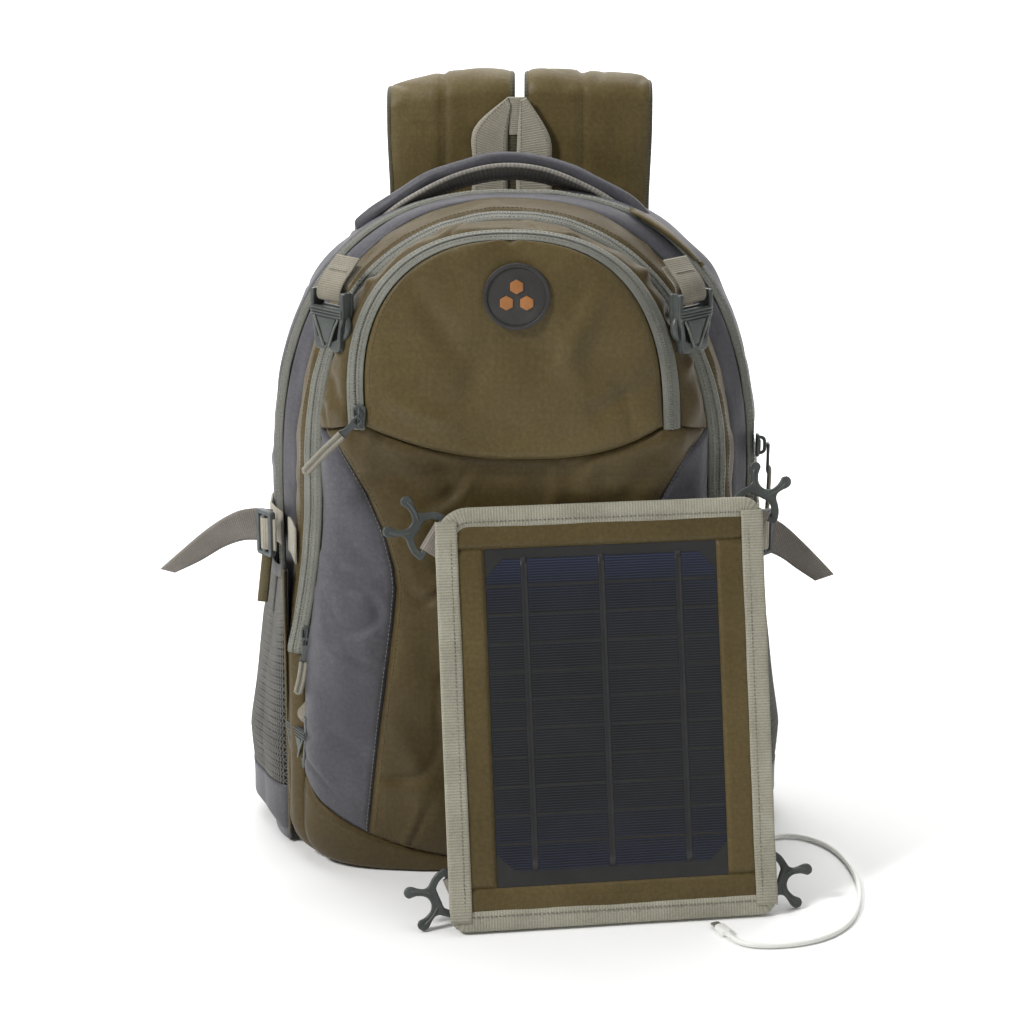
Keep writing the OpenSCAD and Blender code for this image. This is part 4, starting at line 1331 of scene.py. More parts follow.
def cut_corner(ring, at, cut):
    """A rectangle with one of its corners cut off."""
    ring = [np.array(p) for p in ring]
    ways = [unit(ring[k % 4] - ring[at]) for k in (at - 1, at + 1)]
    out = ring[:at] + [ring[at] + way * cut for way in ways] + ring[at + 1:]
    return out[1:] + out[:1] if at == 0 else out


def make_solar():
    parts = [face_panel("laminate", WIN_U - 4, PW - WIN_U + 4, WIN_V - 4, PH - WIN_V + 4, 1.9,
                        laminate_look, 0, None)]
    # A thin raised line along each bus bar
    for u in (58, 110, 162):
        path = to_world([(u, 1.78, v) for v in np.linspace(38.5, 246, 30)])
        parts.append(sweep("bus_bar", path, band_outline(4.2, 0.24, 0.1), FACE, bus_look))
    finish(join("solar_laminate_sheet", parts), "pouch", "solar_sheet", "solar_laminate")
    edges = [(32.4, 55.7), (60.3, 107.7), (112.3, 159.7), (164.3, 187.6)]
    rows, low, pitch = 11, 37.5, 18.95
    cut_off = [(0, 0), (0, 3), (rows - 1, 3), (rows - 1, 0)]
    pts, faces, along = [], [], []
    for i in range(rows):
        v0, v1 = low + i * pitch + 1.0, low + (i + 1) * pitch - 1.0
        for j, (u0, u1) in enumerate(edges):
            ring = [(u0, v0), (u1, v0), (u1, v1), (u0, v1)]
            if (i, j) in cut_off:
                ring = cut_corner(ring, cut_off.index((i, j)), 12.0)
            n, base = len(ring), len(pts)
            pts += [(u, 1.62, v) for u, v in ring] + [(u, 1.95, v) for u, v in ring]
            along += [(v, u) for u, v in ring] * 2
            faces += [tuple(base + q for q in range(n)), tuple(base + n + q for q in reversed(range(n)))]
            faces += [(base + (q + 1) % n, base + q, base + n + q, base + n + (q + 1) % n)
                      for q in range(n)]
    cells = new_object("solar_cell_block", to_world(pts), faces, solar_look, along, smooth_faces=False)
    finish(cells, "pouch", "solar_sheet", "solar_cells")


CLIPS = [("tl", "top_left", -1, 261, 147), ("tr", "top_right", 217, 270, 63),
         ("bl", "bottom_left", 4, 26, 201), ("br", "bottom_right", 214, 25.5, -20)]


def clip_outline():
    """Arched body, two curved prongs with rounded heads, and the round notch between them."""
    half = [(-15.6, -2.2), (-17, -0.6), (-16.9, 2.5), (-15.6, 7), (-12.9, 11.1), (-10.3, 14.4),
            (-9.9, 17.6), (-11.8, 21),
            (-14.6, 24.4), (-15.4, 27.6), (-13.6, 30.4), (-10.6, 30.9), (-8.3, 29), (-8.0, 26.4),
            (-7.6, 23.6),
            (-5.6, 19.6), (-2.9, 17.5), (0, 16.9)]
    full = half + [(-x, y) for x, y in reversed(half[:-1])]
    return spline(full, 5)


def clip_slot():
    a = np.radians(np.linspace(9, 171, 26))
    return [(12.2 * math.cos(t), min(12.2 * math.sin(t), 10.2)) for t in a]


def make_clips():
    turn = np.array(POUCH)[:3, :3]
    tapes = []
    for short, long, u, v, angle in CLIPS:
        a = math.radians(angle)
        x = turn @ np.array([math.sin(a), 0, -math.cos(a)])
        y = turn @ np.array([math.cos(a), 0, math.sin(a)])
        z = np.cross(x, y)
        m = place(to_world([(u, PT + 3.4, v)])[0], tuple(x), tuple(y), tuple(z))
        body = plate(f"clip_body_{short}", clip_outline(), 3.6, dark_plastic_look, m, 1.0, [clip_slot()], 3)
        # A shallow raised ridge along each prong and the body
        ridges = []
        for side in (-1, 1):
            line = spline([(side * 4.5, 13.6, 0), (side * 8.0, 17.6, 0), (side * 10.6, 22.2, 0),
                           (side * 11.8, 26.6, 0)], 6)
            line = np.array([m @ Vector((p[0], p[1], 1.6)) for p in line])
            ridges.append(sweep("ridge", line, circle(1.1, 8, 0.75), tuple(z), dark_plastic_look,
                                scale=np.interp(np.linspace(0, 1, len(line)), [0, 0.2, 0.8, 1],
                                                [0.3, 1, 1, 0.4])))
        finish(join(f"clip_{short}_piece", [body] + ridges), f"clip_{short}", "grey_plastic",
               f"clip_{long}")
        # The tape: out from the pouch's back, round the clip's bar and back
        loop = [(-21, 7.75), (-14, 7.75), (-7, 7.7), (-3.4, 7.6), (-1, 7.55), (1.4, 7.7), (3.0, 9.0),
                (3.3, 10.4),
                (3.0, 11.9), (1.4, 13.2), (-1, 13.6), (-3.8, 13.2), (-7.4, 11.4), (-11, 9.6), (-16, 9.1),
                (-21, 9.0)]
        path = [to_world([(u + math.cos(a) * s, w, v + math.sin(a) * s)])[0] for s, w in loop]
        path = spline(path, 4)
        up = np.cross(np.gradient(path, axis=0), x)
        tapes.append(sweep("clip_tape", path, band_outline(20.5, 1.1, 0.3), up, strap_tail_look))
    finish(join("clip_tape_loops", tapes), "pouch", "webbing", "clip_webbing")


def make_junction():
    middle = 171
    at = POUCH @ Matrix.Translation((middle, PT + 6.8, 104))
    box = rounded_box("box_shell", (50, 13.4, 40), dark_plastic_look, 2.4, at, 3)
    lid = rounded_box("box_lid", (43, 1.6, 30), dark_plastic_look, 0.7,
                      POUCH @ Matrix.Translation((middle, PT + 13.4, 106)), 2)
    ribs = [rounded_box("box_rib", (1.4, 1.0, 20), dark_plastic_look, 0.4,
                        POUCH @ Matrix.Translation((middle + dx, PT + 14.2, 106)), 1)
            for dx in (-12, -6, 0, 6, 12)]
    finish(join("junction_box_piece", [box, lid] + ribs), "pouch", "dark_plastic", "junction_box")


make_pouch_cloth()
make_solar()
make_clips()
make_junction()


# ---------- straps, handle and webbing ----------

# Painted shade: colour of the dark sheet inside the side pockets' nets
net_shade_sheet_look = fabric_look("net_shade_sheet_look", (60, 59, 58), (50, 49, 48), (72, 71, 69), rough=0.75)
edge_look = webbing_look("strap_edge_look", (70, 66, 48), (56, 52, 38), (88, 84, 62), rib=2.2)
pale_webbing_look = webbing_look("pale_webbing_look", (158, 152, 137), (140, 134, 120), (175, 169, 153),
                                 rib=1.5)
olive_tape_look = webbing_look("olive_tape_look", (92, 82, 54), (78, 68, 44), (106, 96, 66), rib=1.6)
slate_tape_look = webbing_look("slate_tape_look", (96, 95, 101), (82, 81, 88), (110, 109, 115), rib=1.6)
tail_look = webbing_look("side_tail_look", (134, 128, 120), (114, 108, 100), (152, 146, 138), rib=1.4)

BELT_Z = 222
SIDE_DEPTHS = [-39, -3, 18.5, 30, 52, 79, 91.5]


def side_half(y):
    """Half width of the bag's side at a depth, low down."""
    return np.interp(y, SIDE_DEPTHS, [159, 159.5, 165, 167, 168, 166.5, 154])


def belt_half(y):
    """Half width of the bag's side at the height of the compression strap."""
    return np.interp(y, SIDE_DEPTHS, [148.5, 155.5, 166.5, 170.5, 171.5, 168, 155])


BAND_COLUMNS = 44


def band_columns():
    """Where the columns of a padded band lie across it, from -1 to 1."""
    return np.sin(np.linspace(-1, 1, BAND_COLUMNS) * np.pi / 2)


def padded_band(name, path, up, half, thick, seam, look, droop=None, seed=1, ends=3.0):
    """A padded strap: crowned between its edges, sewn down along one line."""
    path = np.asarray(path, float)
    side, normal = frames_along(path, up)
    half = np.broadcast_to(np.asarray(half, float), len(path))
    u = band_columns()
    run = run_along(path)
    close = np.minimum(run, run[-1] - run)
    body = np.sqrt(np.clip(1 - (1 - np.clip(close / ends, 0, 1)) ** 2, 0.02, 1))
    puffed = thick / 2 * np.clip(1 - np.abs(u) ** 5, 0.0, 1) ** 0.5
    x = u[None] * half[:, None]
    groove = np.exp(-((x - seam) / 2.6) ** 2) * 0.42 * thick / 2
    t = np.maximum(puffed[None] - groove, 0.5) * body[:, None]
    mid = path[:, None] + side[:, None] * x[..., None]
    if droop is not None:
        mid = mid + droop(x, run[:, None] + 0 * x)
    wrinkle = ripple(mid, seed, 60, 0.7) + ripple(mid, seed + 1, 22, 0.3) + creases(mid, seed + 2, 44, 0.7)
    edge = np.clip((1 - np.abs(u)) / 0.12, 0, 1)
    top = mid + normal[:, None] * (t + wrinkle * edge)[..., None]
    low = mid - normal[:, None] * (t - wrinkle * edge)[..., None]
    ring = np.concatenate([top, low[:, ::-1]], axis=1)
    n = 2 * BAND_COLUMNS
    faces = [tuple(reversed(f)) for f in quads(len(path), n, wrap=True)]
    faces += [tuple(range(n)), tuple((len(path) - 1) * n + j for j in reversed(range(n)))]
    along = np.stack([np.repeat(run, n), np.concatenate([x, x[:, ::-1]], axis=1).ravel()], axis=-1)
    ob = new_object(name, ring.reshape(-1, 3), faces, look, along)
    return ob, top, low, mid, normal


def strap_path():
    leg = [(0, 103.6, 398), (0, 104, 430), (0, 103.4, 465), (0, 103.6, 495), (0, 104.2, 512)]
    arc = [(0, 119 - 14.8 * math.cos(a), 513 + 14.6 * math.sin(a))
           for a in np.radians(np.arange(15, 171, 15))]
    back = [(0, 133.8, 511), (0, 134.4, 480), (0, 133.6, 430), (0, 134.3, 370), (0, 133.7, 300),
            (0, 134.2, 240),
            (0, 134, 190), (0, 134, 152)]
    return spline(leg + arc + back, 8)


def make_strap(side_name, cx, seam, fall, seed):
    """A shoulder strap: up from the bag's back, over its crest and down behind it."""
    wide, thick = 44.5, 9.4
    path = strap_path() + (cx, 0, 0)
    d = unit(np.gradient(path, axis=0))
    up = np.cross((1, 0, 0), d)
    height, behind = path[:, 2], smooth(116, 124, path[:, 1])
    half = wide - 20.0 * smooth(260, 170, height) * behind - 2.0 * smooth(500, 420, height) * (1 - behind)

    def droop(x, run):
        k = smooth(70, 118, run) * (1 - 0.6 * smooth(170, 300, run))
        return np.stack([0 * x, 0 * x, -fall * k * ((x - 44 * np.sign(-cx)) / 89) ** 2], axis=-1)

    ob, top, bottom, mid, normal = padded_band(f"strap_{side_name}_pad", path, up, half, thick, seam,
                                               strap_fabric_look, droop,
                                               seed)
    bend = ("bag", f"strap_{side_name}", (0, 0.112, 0.5), (0, 0.126, 0.5))
    finish(ob, bend, "olive_fabric", f"strap_root_{side_name}", f"shoulder_strap_{side_name}")
    parts = []
    for edge in (0, -1):
        line = mid[:, edge]
        out = unit(mid[:, edge] - mid[:, BAND_COLUMNS // 2])
        parts.append(sweep("strap_edge", line - out * 1.1, circle(2.3, 8), up, edge_look))
        n_line = top[:, 3 if edge == 0 else -4]
        parts.append(stitches("edge_row", n_line, normal, thread_look, 3.1, (2.2, 0.7, 0.4)))
    centre = int(np.argmin(np.abs(band_columns() * wide - seam)))
    for face, sign in ((top, 1), (bottom, -1)):
        parts.append(stitches("centre_row", face[:, centre], normal * sign, thread_look, 4.0,
                              (3.0, 0.8, 0.5)))
    finish(join(f"strap_{side_name}_edges", parts), bend, "olive_fabric")


def flat_piece(name, top_line, low_line, y, thick, look, curl=None, rows=40, cols=9):
    """Webbing seen flat from the front, between two lines of x and z."""
    a, b = (resample(spline([(x, 0, z) for x, z in line], 6), rows) for line in (top_line, low_line))
    t = np.linspace(0, 1, cols)[None, :, None]
    grid = a[:, None] * (1 - t) + b[:, None] * t
    grid[..., 1] = y if curl is None else y + curl(np.linspace(0, 1, rows)[:, None] + 0 * grid[..., 1],
                                                   t[..., 0])
    flip = float(grid_normals(grid)[..., 1].mean()) > 0
    run = run_along(grid[:, cols // 2])
    wide = np.linspace(0, 25, cols)
    along = np.stack(np.meshgrid(run, wide, indexing="ij"), axis=-1).reshape(-1, 2)
    return shell(name, grid, look, thick, flip, along), grid


def make_hang_loop():
    left, g = flat_piece("loop_left", [(-31, 440), (-30, 466), (-29, 492), (-5, 514)],
                         [(-5, 440), (-5, 462), (-5, 488), (-3, 508)], 95.6, 1.6, taupe_look, rows=60)
    right, h = flat_piece("loop_right", [(1, 440), (1, 464), (2, 489), (4, 512)],
                          [(27, 440), (26, 462), (25, 486), (8, 514)], 94.2, 1.6, taupe_look, rows=60)
    middle, _ = flat_piece("loop_middle", [(-5, 514), (-4.6, 500), (-4.4, 487)],
                           [(7, 514), (5.8, 500), (4.8, 487)], 96.4, 1.4, pale_webbing_look, rows=24)
    # Painted shade: a dark strip behind the loop's legs fills the gap between them
    behind, _ = flat_piece("loop_gap_shade", [(-7, 491), (-7, 460), (-7, 440)],
                           [(7, 491), (7, 460), (7, 440)], 97.0, 1.2, edge_look, rows=24)
    parts = [left, right, middle, behind]
    for grid, col in ((g, 7), (h, 1), (g, 1), (h, 7)):
        parts.append(stitches("loop_row", grid[:, col], (0, -1, 0), pale_thread_look, 2.8,
                              (2.0, 0.6, 0.35)))
    finish(join("hang_loop_piece", parts), "bag", "webbing", "hang_loop")


def make_handle():
    """Padded haul handle with its webbing underside."""
    knots = [(-108, 49, 424), (-92, 49, 436), (-70, 49, 449.5), (-40, 49, 463), (-10, 49, 469.5),
             (20, 49, 467),
             (50, 49, 456), (72, 49, 444), (94, 49, 427)]
    start, end, wide = -108, 88, 11.5
    path = resample(spline(knots, 14), 150)
    d = unit(np.gradient(path, axis=0))
    flat_up = unit(np.cross(d, (0, 1, 0)) * -1)
    flat_up = np.where(flat_up[:, 2:] < 0, -flat_up, flat_up)
    lean = math.radians(30) * np.sin(np.pi * np.clip((path[:, 0] - start) / (end - start), 0, 1)) ** 0.5
    up = flat_up * np.cos(lean)[:, None] + np.array([0, 1, 0]) * np.sin(lean)[:, None]
    half = wide * np.clip(0.35 + (path[:, 0] - start) / 45, 0.35, 1) ** 0.7

    def wavy(x, run):
        return np.stack([0 * x, 0 * x, ripple(np.stack([run, x, 0 * x], -1), 171, 40, 0.6)], axis=-1)

    no_seam = 400
    pad = padded_band("handle_pad", path + up * 5.0, up, half + 1.6, 10.6, no_seam, slate_look, wavy, 173,
                      ends=6)[0]
    bend = ("bag", "handle", (0, 0.049, 0.430), (0, 0.049, 0.446))
    finish(pad, bend, "slate_fabric", "haul_handle")
    scale = np.stack([half / wide, np.ones(len(path))], axis=1)
    parts = [sweep("handle_web", path - up * 0.9, band_outline(24.5, 2.4, 0.8), up, handle_web_look,
                   scale=scale)]
    side, _ = frames_along(path, up)
    for k in (-1, 1):
        edge = path + side * (k * half)[:, None] - up * 1.2
        parts.append(sweep("web_edge", edge, circle(2.0, 8), up, handle_web_look))
        parts.append(stitches("web_row", path + side * (k * half * 0.8)[:, None] - up * 2.1, -up,
                              pale_thread_look, 3.4,
                              (2.7, 1.3, 0.8)))
        parts.append(stitches("edge_row", edge - up * 1.2 + side * k * 0.8, -up * 0.6 + side * k,
                              pale_thread_look, 3.4,
                              (2.6, 1.2, 0.8)))
    finish(join("handle_web_piece", parts), bend, "webbing", "handle_webbing")


def make_net(side, name):
    """Side pocket of open mesh: a bulged net of crossing threads, with a bound top edge."""
    rows, cols = 74, 50
    front, depth, floor = -36, 114, 9
    v, u = np.meshgrid(np.linspace(0, 1, rows), np.linspace(0, 1, cols), indexing="ij")
    y = front + depth * u
    top = 199 - 12 * np.sin(np.pi * u) + 6 * (1 - u)
    z = floor + (top - floor) * v
    full = np.interp(z, [0, 13, 70, 114, 153, 200], [21, 23, 24, 19, 14, 4.5])
    bulge = full * np.sin(np.pi * np.clip(u, 0, 1)) ** 0.62 * np.clip((z - 4) / 12, 0, 1) ** 0.5
    x = side_half(y) + 0.8 + bulge + ripple(np.stack([0 * y, y, z], -1), 181, 60, 1.2) * np.sin(np.pi * u)
    grid_edge = np.stack([side * x, y, z], axis=-1)
    half_step = (np.arange(rows)[:, None] % 2) * 0.5 * depth / (cols - 1)
    grid = np.stack([side * x, y + half_step * (u < 0.985), z], axis=-1)
    pts = grid.reshape(-1, 3)
    faces = []
    for i in range(rows - 2):
        for j in range(cols - 1):
            a = i * cols + j
            if i % 2 == 0:
                ring = (a, a + cols, a + 2 * cols, a + cols - 1)
                faces.append(ring if j > 0 else ring[:3])
            else:
                faces.append((a, a + cols + 1, a + 2 * cols, a + cols))
    net = new_object("net", pts, faces, net_look)
    m = net.modifiers.new("wire", "WIREFRAME")
    m.thickness = 1.15 * MM
    m.use_even_offset = False
    m.use_replace = True
    m.use_boundary = True
    apply_modifiers(net)
    net.data.materials.clear()
    net.data.materials.append(net_look)
    # Dark sheet close inside the net: painted shade for the pocket's inside
    n = outward(grid_edge)
    inner = grid_edge - n * 1.9
    parts = [net, shell("net_shade_sheet", inner, net_shade_sheet_look, 0.8, faces_inward(inner))]
    # Bound edges: elastic mouth, front and back seams
    outward_x = (side, 0, 0)
    parts.append(sweep("mouth", grid_edge[-1] + (side * 0.4, 0, 0), band_outline(9, 2.4, 0.8), outward_x,
                       black_tape_look))
    for j in (0, -1):
        parts.append(sweep("net_seam", grid_edge[:, j] + (side * 0.5, 0, 0), band_outline(7, 1.8, 0.6),
                           outward_x,
                           olive_tape_look))
    foot = grid_edge[:14] + n[:14] * 1.0
    parts.append(shell("net_corner", foot, slate_look, 1.2, faces_inward(foot)))
    parts.append(sweep("net_foot", grid_edge[0] + (side * 0.2, 0, 0.5), band_outline(13, 2.2, 0.8),
                       outward_x,
                       slate_tape_look))
    finish(join(f"net_pocket_{name}", parts), "bag", "pad_mesh", f"mesh_pocket_{name}", "pocket_elastics")


def ladder_plate(name, w, h, t, matrix, look):
    """Ladder lock: an outer frame with a middle bar, from a plate with two slots."""
    outline = rounded_outline(-w / 2, -h / 2, w / 2, h / 2, (2.4,) * 4, (5,) * 4)
    holes = []
    for s in (-1, 1):
        y0, y1 = (1.5, h / 2 - 3) if s > 0 else (-h / 2 + 3, -1.5)
        holes.append([(-w / 2 + 3.2, y0), (w / 2 - 3.2, y0), (w / 2 - 3.2, y1), (-w / 2 + 3.2, y1)])
    return plate(name, outline, t, look, matrix, min(0.9, t / 3), holes, 3)


def tail_curl(s, t):
    """How far a loose webbing tail turns forward, along it and across it."""
    return 3.0 * np.sin(s * 3.0) * (t - 0.3) * 2


def make_side_straps():
    """Compression straps: webbing round each side, its lock and its free tail."""
    left, _ = flat_piece("tail_left", [(-171, 235), (-184, 236), (-198, 233), (-216, 222), (-235, 206),
                                       (-252, 191)],
                         [(-171, 211), (-184, 212), (-194, 211), (-207, 206), (-224, 196), (-242, 188)],
                         8.8, 1.7,
                         tail_look, tail_curl, rows=60)
    right, _ = flat_piece("tail_right", [(171, 229), (180, 229), (190, 224), (206, 209), (227, 187)],
                          [(171, 205), (180, 203), (190, 198), (201, 190), (214, 182)], 8.8, 1.7, tail_look,
                          tail_curl, rows=50)
    parts = [left, right]
    for side in (-1, 1):
        for y0, y1, lift in ((-37, -6, 2.6), (4, 82, 3.6)):
            y = np.linspace(y0, y1, 40)
            x = belt_half(y) + lift + 1.6 * np.exp(-(y / 8) ** 2)
            line = np.stack([side * x, y, BELT_Z + 0 * y], axis=1)
            parts.append(sweep("side_run", line, band_outline(25, 1.8, 0.5), (side, 0, 0), taupe_look))
        # Two passes over the lock's middle bar
        s = np.linspace(-11, 11, 24)[:, None]
        out, back = np.array([side * 0.75, -0.66, 0]), np.array([side * 0.66, 0.75, 0])
        lift = 0.2 + 3.6 * np.exp(-(s / 3.6) ** 2)
        line = np.array([side * 174.5, -3, BELT_Z]) + back * s * side + out * lift
        parts.append(sweep("lock_pass", line, band_outline(23, 1.5, 0.4), tuple(out), pale_webbing_look))
        # Folded free end below the lock
        fold_z = np.linspace(206, 172, 16)
        line = np.stack([side * (174.5 + 0.12 * (206 - fold_z)), -4 - 0.05 * (206 - fold_z), fold_z],
                        axis=1)
        if side < 0:
            parts.append(sweep("folded_end", line, band_outline(7.5, 3.4, 1.0), (0, -1, 0),
                               olive_tape_look))
    finish(join("side_strap_webbing", parts), "bag", "webbing", "side_webbing")
    for side, name in SIDES:
        m = place((side * 175.0, -3.4, BELT_Z), (0, 0, 1), (-0.66, -side * 0.75, 0),
                  (side * 0.75, -0.66, 0))
        lock = ladder_plate(f"side_lock_{name}_piece", 33, 17, 5.2, m, grey_plastic_look)
        finish(lock, "bag", "grey_plastic", f"side_lock_{name}")


make_strap("left", -45.5, -5.0, 11.0, 191)
make_strap("right", 52.5, -4.0, 6.5, 195)
make_hang_loop()
make_handle()
make_net(-1, "left")
make_net(1, "right")
make_side_straps()


# ---------- zip pulls, buckles and the straps' lower ends ----------

loop_look = webbing_look("buckle_loop_look", (126, 120, 105), (108, 102, 88), (144, 138, 122), rib=1.5)
# Painted highlight: a lighter copy of the buckles' dark plastic, for their ridges
ridge_highlight_look = plastic_look("buckle_ridge_highlight_look", (84, 88, 82), (70, 74, 68), (112, 116, 108), rough=0.35)


def matrix_of(where, turn_z=0.0, turn_y=0.0):
    m = Matrix.Rotation(math.radians(turn_z), 4, "Z") @ Matrix.Rotation(math.radians(turn_y), 4, "Y")
    m.translation = Vector(where)
    return m


def facing(m, y, x=0.0, z=0.0):
    """Plate axes on a fitting: its X across, its Y up, its Z outward, at a depth y."""
    turn = m.to_3x3()
    return place(m @ Vector((x, y, z)), turn @ Vector((1, 0, 0)), turn @ Vector((0, 0, 1)),
                 turn @ Vector((0, -1, 0)))


def local_path(m, points, per=6):
    return np.array([m @ Vector(p) for p in spline(points, per)])


def out_of(m):
    """A fitting's outward direction."""
    return np.array(m.to_3x3() @ Vector((0, -1, 0)))


def across_of(m):
    """A fitting's direction across."""
    return np.array(m.to_3x3() @ Vector((1, 0, 0)))


def make_slider(name, m, body, node):
    """A zip's slider: base plate, bridge and two rails."""
    shape = [(-4.6, 3), (-4.3, 6.2), (-2.6, 8), (2.6, 8), (4.3, 6.2), (4.6, 3), (3.6, -5.5), (2.2, -8),
             (-2.2, -8),
             (-3.6, -5.5)]
    base = plate("slider_base", shape, 2.4, dark_plastic_look, facing(m, -1.2), 0.7, segments=3)
    arch = [(0, -2.2, 5.8), (0, -4.2, 5.6), (0, -5.9, 4.0), (0, -6.3, 0), (0, -5.9, -4.0), (0, -4.2, -5.4),
            (0, -2.2, -5.8)]
    bridge = sweep("slider_bridge", local_path(m, arch), circle(1.25, 8, 0.75), across_of(m),
                   dark_plastic_look)
    rails = []
    for s in (-1, 1):
        rail = local_path(m, [(s * 3.6, -2.5, 5), (s * 3.3, -2.7, 0), (s * 2.4, -2.5, -6)])
        rails.append(sweep("slider_rail", rail, circle(0.7, 6), out_of(m), dark_plastic_look))
    finish(join(name, [base, bridge] + rails), body, "grey_plastic", node)


def make_puller(name, m, tab, bend, body, node):
    """A link with a loop of cord. tab is the cord's length and bend its sideways reach."""
    link = [(-3.4, 0.4), (-2.6, 1.6), (2.6, 1.6), (3.4, 0.4), (3.3, -4), (2.3, -6.5), (2.3, -12),
            (3.4, -14.5),
            (3.5, -19.2), (2.8, -20), (-2.8, -20), (-3.5, -19.2), (-3.4, -14.5), (-2.3, -12), (-2.3, -6.5),
            (-3.3, -4)]
    eye = [(-1.6, -3.3), (1.6, -3.3), (1.6, 0.2), (-1.6, 0.2)]
    slot = [(-2.2, -18.3), (2.2, -18.3), (2.2, -15.5), (-2.2, -15.5)]
    parts = [plate("pull_link", link, 1.9, dark_plastic_look, facing(m, 0), 0.55, [eye, slot])]
    low = -20 - tab + 1.6
    out = out_of(m)
    for s in (-1, 1):
        cord = [(s * 1.75, -1.0, -15.6), (s * 1.8, -1.5, -19),
                (s * 1.85 + bend * 0.3, -1.2, -20 - tab * 0.4),
                (s * 1.8 + bend, -0.8, low + 2), (s * 1.2 + bend * 1.1, -0.7, low)]
        parts.append(sweep("pull_cord", local_path(m, cord), circle(1.5, 10, 1.3), out, pull_look))
    middle = [(0, -0.4, -16.2), (0, -0.9, -19), (bend * 0.3, -0.7, -20 - tab * 0.4), (bend, -0.3, low + 1)]
    parts.append(sweep("pull_middle", local_path(m, middle), band_outline(2.6, 2.2, 0.6), out, tail_look))
    end = [(-2.6 + bend * 1.1, -0.7, low + 1.4), (bend * 1.15, -0.7, low - 0.6),
           (2.6 + bend * 1.1, -0.7, low + 1.4)]
    parts.append(sweep("pull_end", local_path(m, end), circle(1.4, 8), out, pull_look))
    finish(join(name, parts), body, "grey_plastic", node)


def make_zip_pulls():
    main = matrix_of((169.8, 17.8, 280), 90)
    outer = matrix_of((-144, -47, 160), 0, 7)
    pocket = matrix_of((-102.8, -84.7, 327))
    shift = Matrix.Translation((0, -8.8, 0))
    for word, m, turn, tab, bend in (("main", main, 0, 30, 1.5), ("outer", outer, 0, 20, -1.5),
                                     ("pocket", pocket, 48, 32, 2.0)):
        make_slider(f"{word}_slider_piece", m, f"{word}_zip_slider", f"{word}_slider")
        pull = m @ shift @ Matrix.Rotation(math.radians(turn), 4, "Y")
        make_puller(f"{word}_puller_piece", pull, tab, bend, f"{word}_zip_puller", f"{word}_puller")


BUCKLES = [("upper_left", (-121, -64, 404), -45), ("upper_right", (116, -68.5, 404), 45),
           ("lower_left", (-149, -48, 102), -60), ("lower_right", (149, -48, 102), 60)]


def make_buckle(name, m):
    """Socket half of a side-release buckle, with its two windows and spring arms."""
    face = [(-16.4, 3.2), (-15.4, 4), (-13.4, 4), (-13, 3.2), (-13, -6.8), (13, -6.8), (13, 3.2), (13.4, 4),
            (15.4, 4),
            (16.4, 3.2), (16.4, -9), (15.6, -15), (13.6, -20), (13.0, -26), (12.6, -33.5), (10.6, -36),
            (4.5, -36),
            (0, -33.5), (-4.5, -36), (-10.6, -36), (-12.6, -33.5), (-13.0, -26), (-13.6, -20), (-15.6, -15),
            (-16.4, -9)]
    window = [(6.8, -15.5), (12.4, -14.2), (11.0, -20), (9.6, -27.5), (4.8, -29.5)]
    holes = [window[::-1], [(-x, z) for x, z in window]]
    parts = []
    for y in (-3.7, 3.7):
        parts.append(plate("buckle_face", face, 2.8, dark_plastic_look, facing(m, y), 0.8, holes, 3))
    for s in (-1, 1):
        wall = [(s * x, z) for x, z in ((16.2, 3.8), (13.2, 3.8), (13.2, -8), (10.4, -8), (10.4, -10),
                                        (12.6, -14),
                                        (10.4, -24), (10.2, -35.4), (12.2, -35.4), (13, -24), (16.2, -9))]
        parts.append(plate("buckle_wall", wall if s > 0 else wall[::-1], 5.2, dark_plastic_look,
                           facing(m, 0), 0.4))
        # Spring arm that bulges out of the side
        arm = [(s * 12.6, 0, -11), (s * 15.2, 0, -14), (s * 16.2, 0, -18.5), (s * 15.2, 0, -23),
               (s * 12.4, 0, -26.5),
               (s * 9.4, 0, -29)]
        parts.append(sweep("buckle_arm", local_path(m, arm), circle(2.1, 10, 2.5), out_of(m),
                           dark_plastic_look,
                           scale=np.interp(np.linspace(0, 1, 31), [0, 0.12, 0.45, 0.8, 1],
                                           [0.6, 0.9, 1.2, 1, 0.5])))
    block = [(-10.6, -8), (10.6, -8), (10.6, -12.5), (-10.6, -12.5)]
    parts.append(plate("buckle_block", block[::-1], 5.4, dark_plastic_look, facing(m, 0), 0.4))
    across = [(-14.6, 0, 0), (-7, 0, 0), (7, 0, 0), (14.6, 0, 0)]
    parts.append(sweep("buckle_bar", local_path(m, across, 3), circle(1.75, 12), out_of(m),
                       dark_plastic_look))
    for z in (-8.3, -10.3, -12.3):
        for y in (-5.0, 5.0):
            rib = [(-14.6, y, z), (-13, y * 1.08, z), (13, y * 1.08, z), (14.6, y, z)]
            parts.append(sweep("buckle_rib", local_path(m, rib, 3), circle(0.72, 8), out_of(m),
                               dark_plastic_look))
    for y in (-5.3, 5.3):
        vee = [(-9.4, -14.0), (9.4, -14.0), (5.6, -22), (2.2, -30.5), (-2.2, -30.5), (-5.6, -22)]
        parts.append(plate("buckle_vee", vee[::-1], 1.4, dark_plastic_look, facing(m, y), 0.4))
        for s in (-1, 1):
            edge = [(s * 11.8, y, -13.6), (s * 8.4, y * 1.12, -20), (s * 5.2, y * 1.12, -27),
                    (s * 2.4, y * 1.05, -33)]
            # Ridges in the lighter copy of the plastic: painted highlight
            parts.append(sweep("buckle_ridge", local_path(m, edge), circle(0.95, 8), out_of(m), ridge_highlight_look))
    finish(join(f"buckle_{name}_piece", parts), f"socket_{name}", "dark_plastic", f"buckle_{name}")


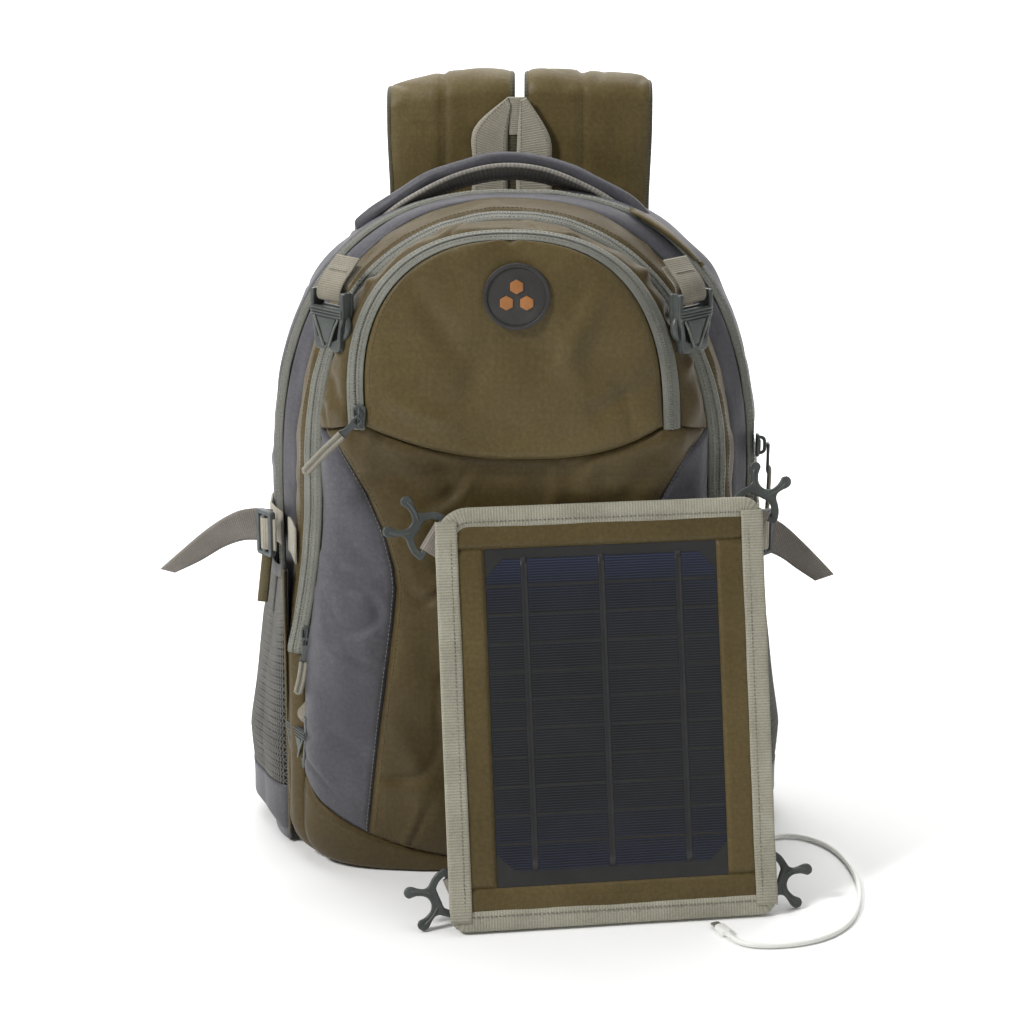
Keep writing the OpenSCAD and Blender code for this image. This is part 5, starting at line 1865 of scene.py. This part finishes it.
def make_buckles():
    loops = []
    for name, where, turn in BUCKLES:
        m = matrix_of(where, turn)
        make_buckle(name, m)
        reach = 12 if name.startswith("upper") else 8
        loop = [(0, reach + 3, 24), (0, reach - 3, 18), (0, 1.5, 11), (0, -2.2, 5), (0, -2.9, 0.6),
                (0, -1.6, -2.5),
                (0, 0.6, -2.9), (0, 2.5, -1.2), (0, 3.1, 2), (0, 4.4, 8), (0, reach - 1, 14),
                (0, reach + 4, 19)]
        path = local_path(m, loop, 5)
        up = np.cross(across_of(m), np.gradient(path, axis=0))
        loops.append(sweep("buckle_loop", path, band_outline(23, 1.5, 0.4), up, loop_look))
        row = local_path(m, [(x, reach - 6.3, 16.6) for x in (-9, 0, 9)], 6)
        loops.append(stitches("loop_bar", row, out_of(m), pale_thread_look, 2.4, (2.0, 0.9, 0.6)))
    finish(join("buckle_webbing_loops", loops), "bag", "webbing", "buckle_webbing")


def make_lower_straps():
    anchors = []
    for side, name, x in ((-1, "left", -47), (1, "right", 52)):
        m = place((x, 134, 137), (1, 0, 0), (0, 0, 1), (0, -1, 0))
        lock = ladder_plate(f"strap_lock_{name}_piece", 34, 24, 5, m, grey_plastic_look)
        short = spline([(x, 134.2, 166), (x, 134, 152), (x, 135.4, 146), (x, 137.6, 139.6), (x, 137.4, 137),
                        (x, 134.8, 135),
                        (x, 131.6, 139), (x, 131.6, 146), (x, 132.2, 158)], 5)
        up = np.cross((1, 0, 0), np.gradient(short, axis=0))
        web = sweep("lock_web", short, band_outline(25, 1.5, 0.4), up, taupe_look)
        finish(join(f"strap_lock_{name}_set", [lock, web]), f"strap_{name}", "grey_plastic",
               f"strap_lock_{name}")
        run = spline([(side * 128, 102.4, 30), (side * 124, 104, 42), (side * 112, 110, 62),
                      (side * 90, 121, 88),
                      (x + side * 14, 130, 112), (x + side * 3, 134, 124), (x, 136.6, 131),
                      (x, 137.0, 134.6),
                      (x, 133.0, 134.2), (x, 130.9, 128), (x - side, 129.6, 112),
                      (x - side * 2, 130.5, 92)], 8)
        lower = sweep(f"lower_web_{name}", run, band_outline(24, 1.5, 0.4), np.cross(lower_side(run),
                      np.gradient(run, axis=0)), taupe_look)
        finish(lower, ("bag", f"strap_{name}", (0, 0.104, 0.036), (0, 0.134, 0.122)), "webbing",
               "lower_webbing")
        tri = [(side * 144, 8), (side * 145, 56), (side * 119, 41), (side * 112, 24)]
        ring = tri if side < 0 else tri[::-1]
        anchors.append(plate("anchor", ring, 3.0, olive_look,
                             place((0, 99.4, 0), (-1, 0, 0), (0, 0, 1), (0, 1, 0)), 1.0))
        box = [(side * 122, 101.2, 28), (side * 140, 101.2, 18), (side * 140, 101.2, 46),
               (side * 122, 101.2, 38),
               (side * 122, 101.2, 28)]
        anchors.append(stitches("anchor_row", resample(box, 60), (0, 1, 0), thread_look, 3.0,
                                (2.2, 0.7, 0.4)))
    finish(join("strap_anchor_patches", anchors), "bag", "olive_fabric", "strap_anchors")


def lower_side(run):
    """Across direction of the lower webbing: level with the bag's back, turned square to the run."""
    d = unit(np.gradient(run, axis=0))
    return unit(np.cross(d, (0.0, 1.0, 0.25)))


def dress_sleeve():
    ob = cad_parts["laptop_sleeve"]
    for s in ob.material_slots:
        s.material = lining_look


make_zip_pulls()
make_buckles()
make_lower_straps()
dress_sleeve()
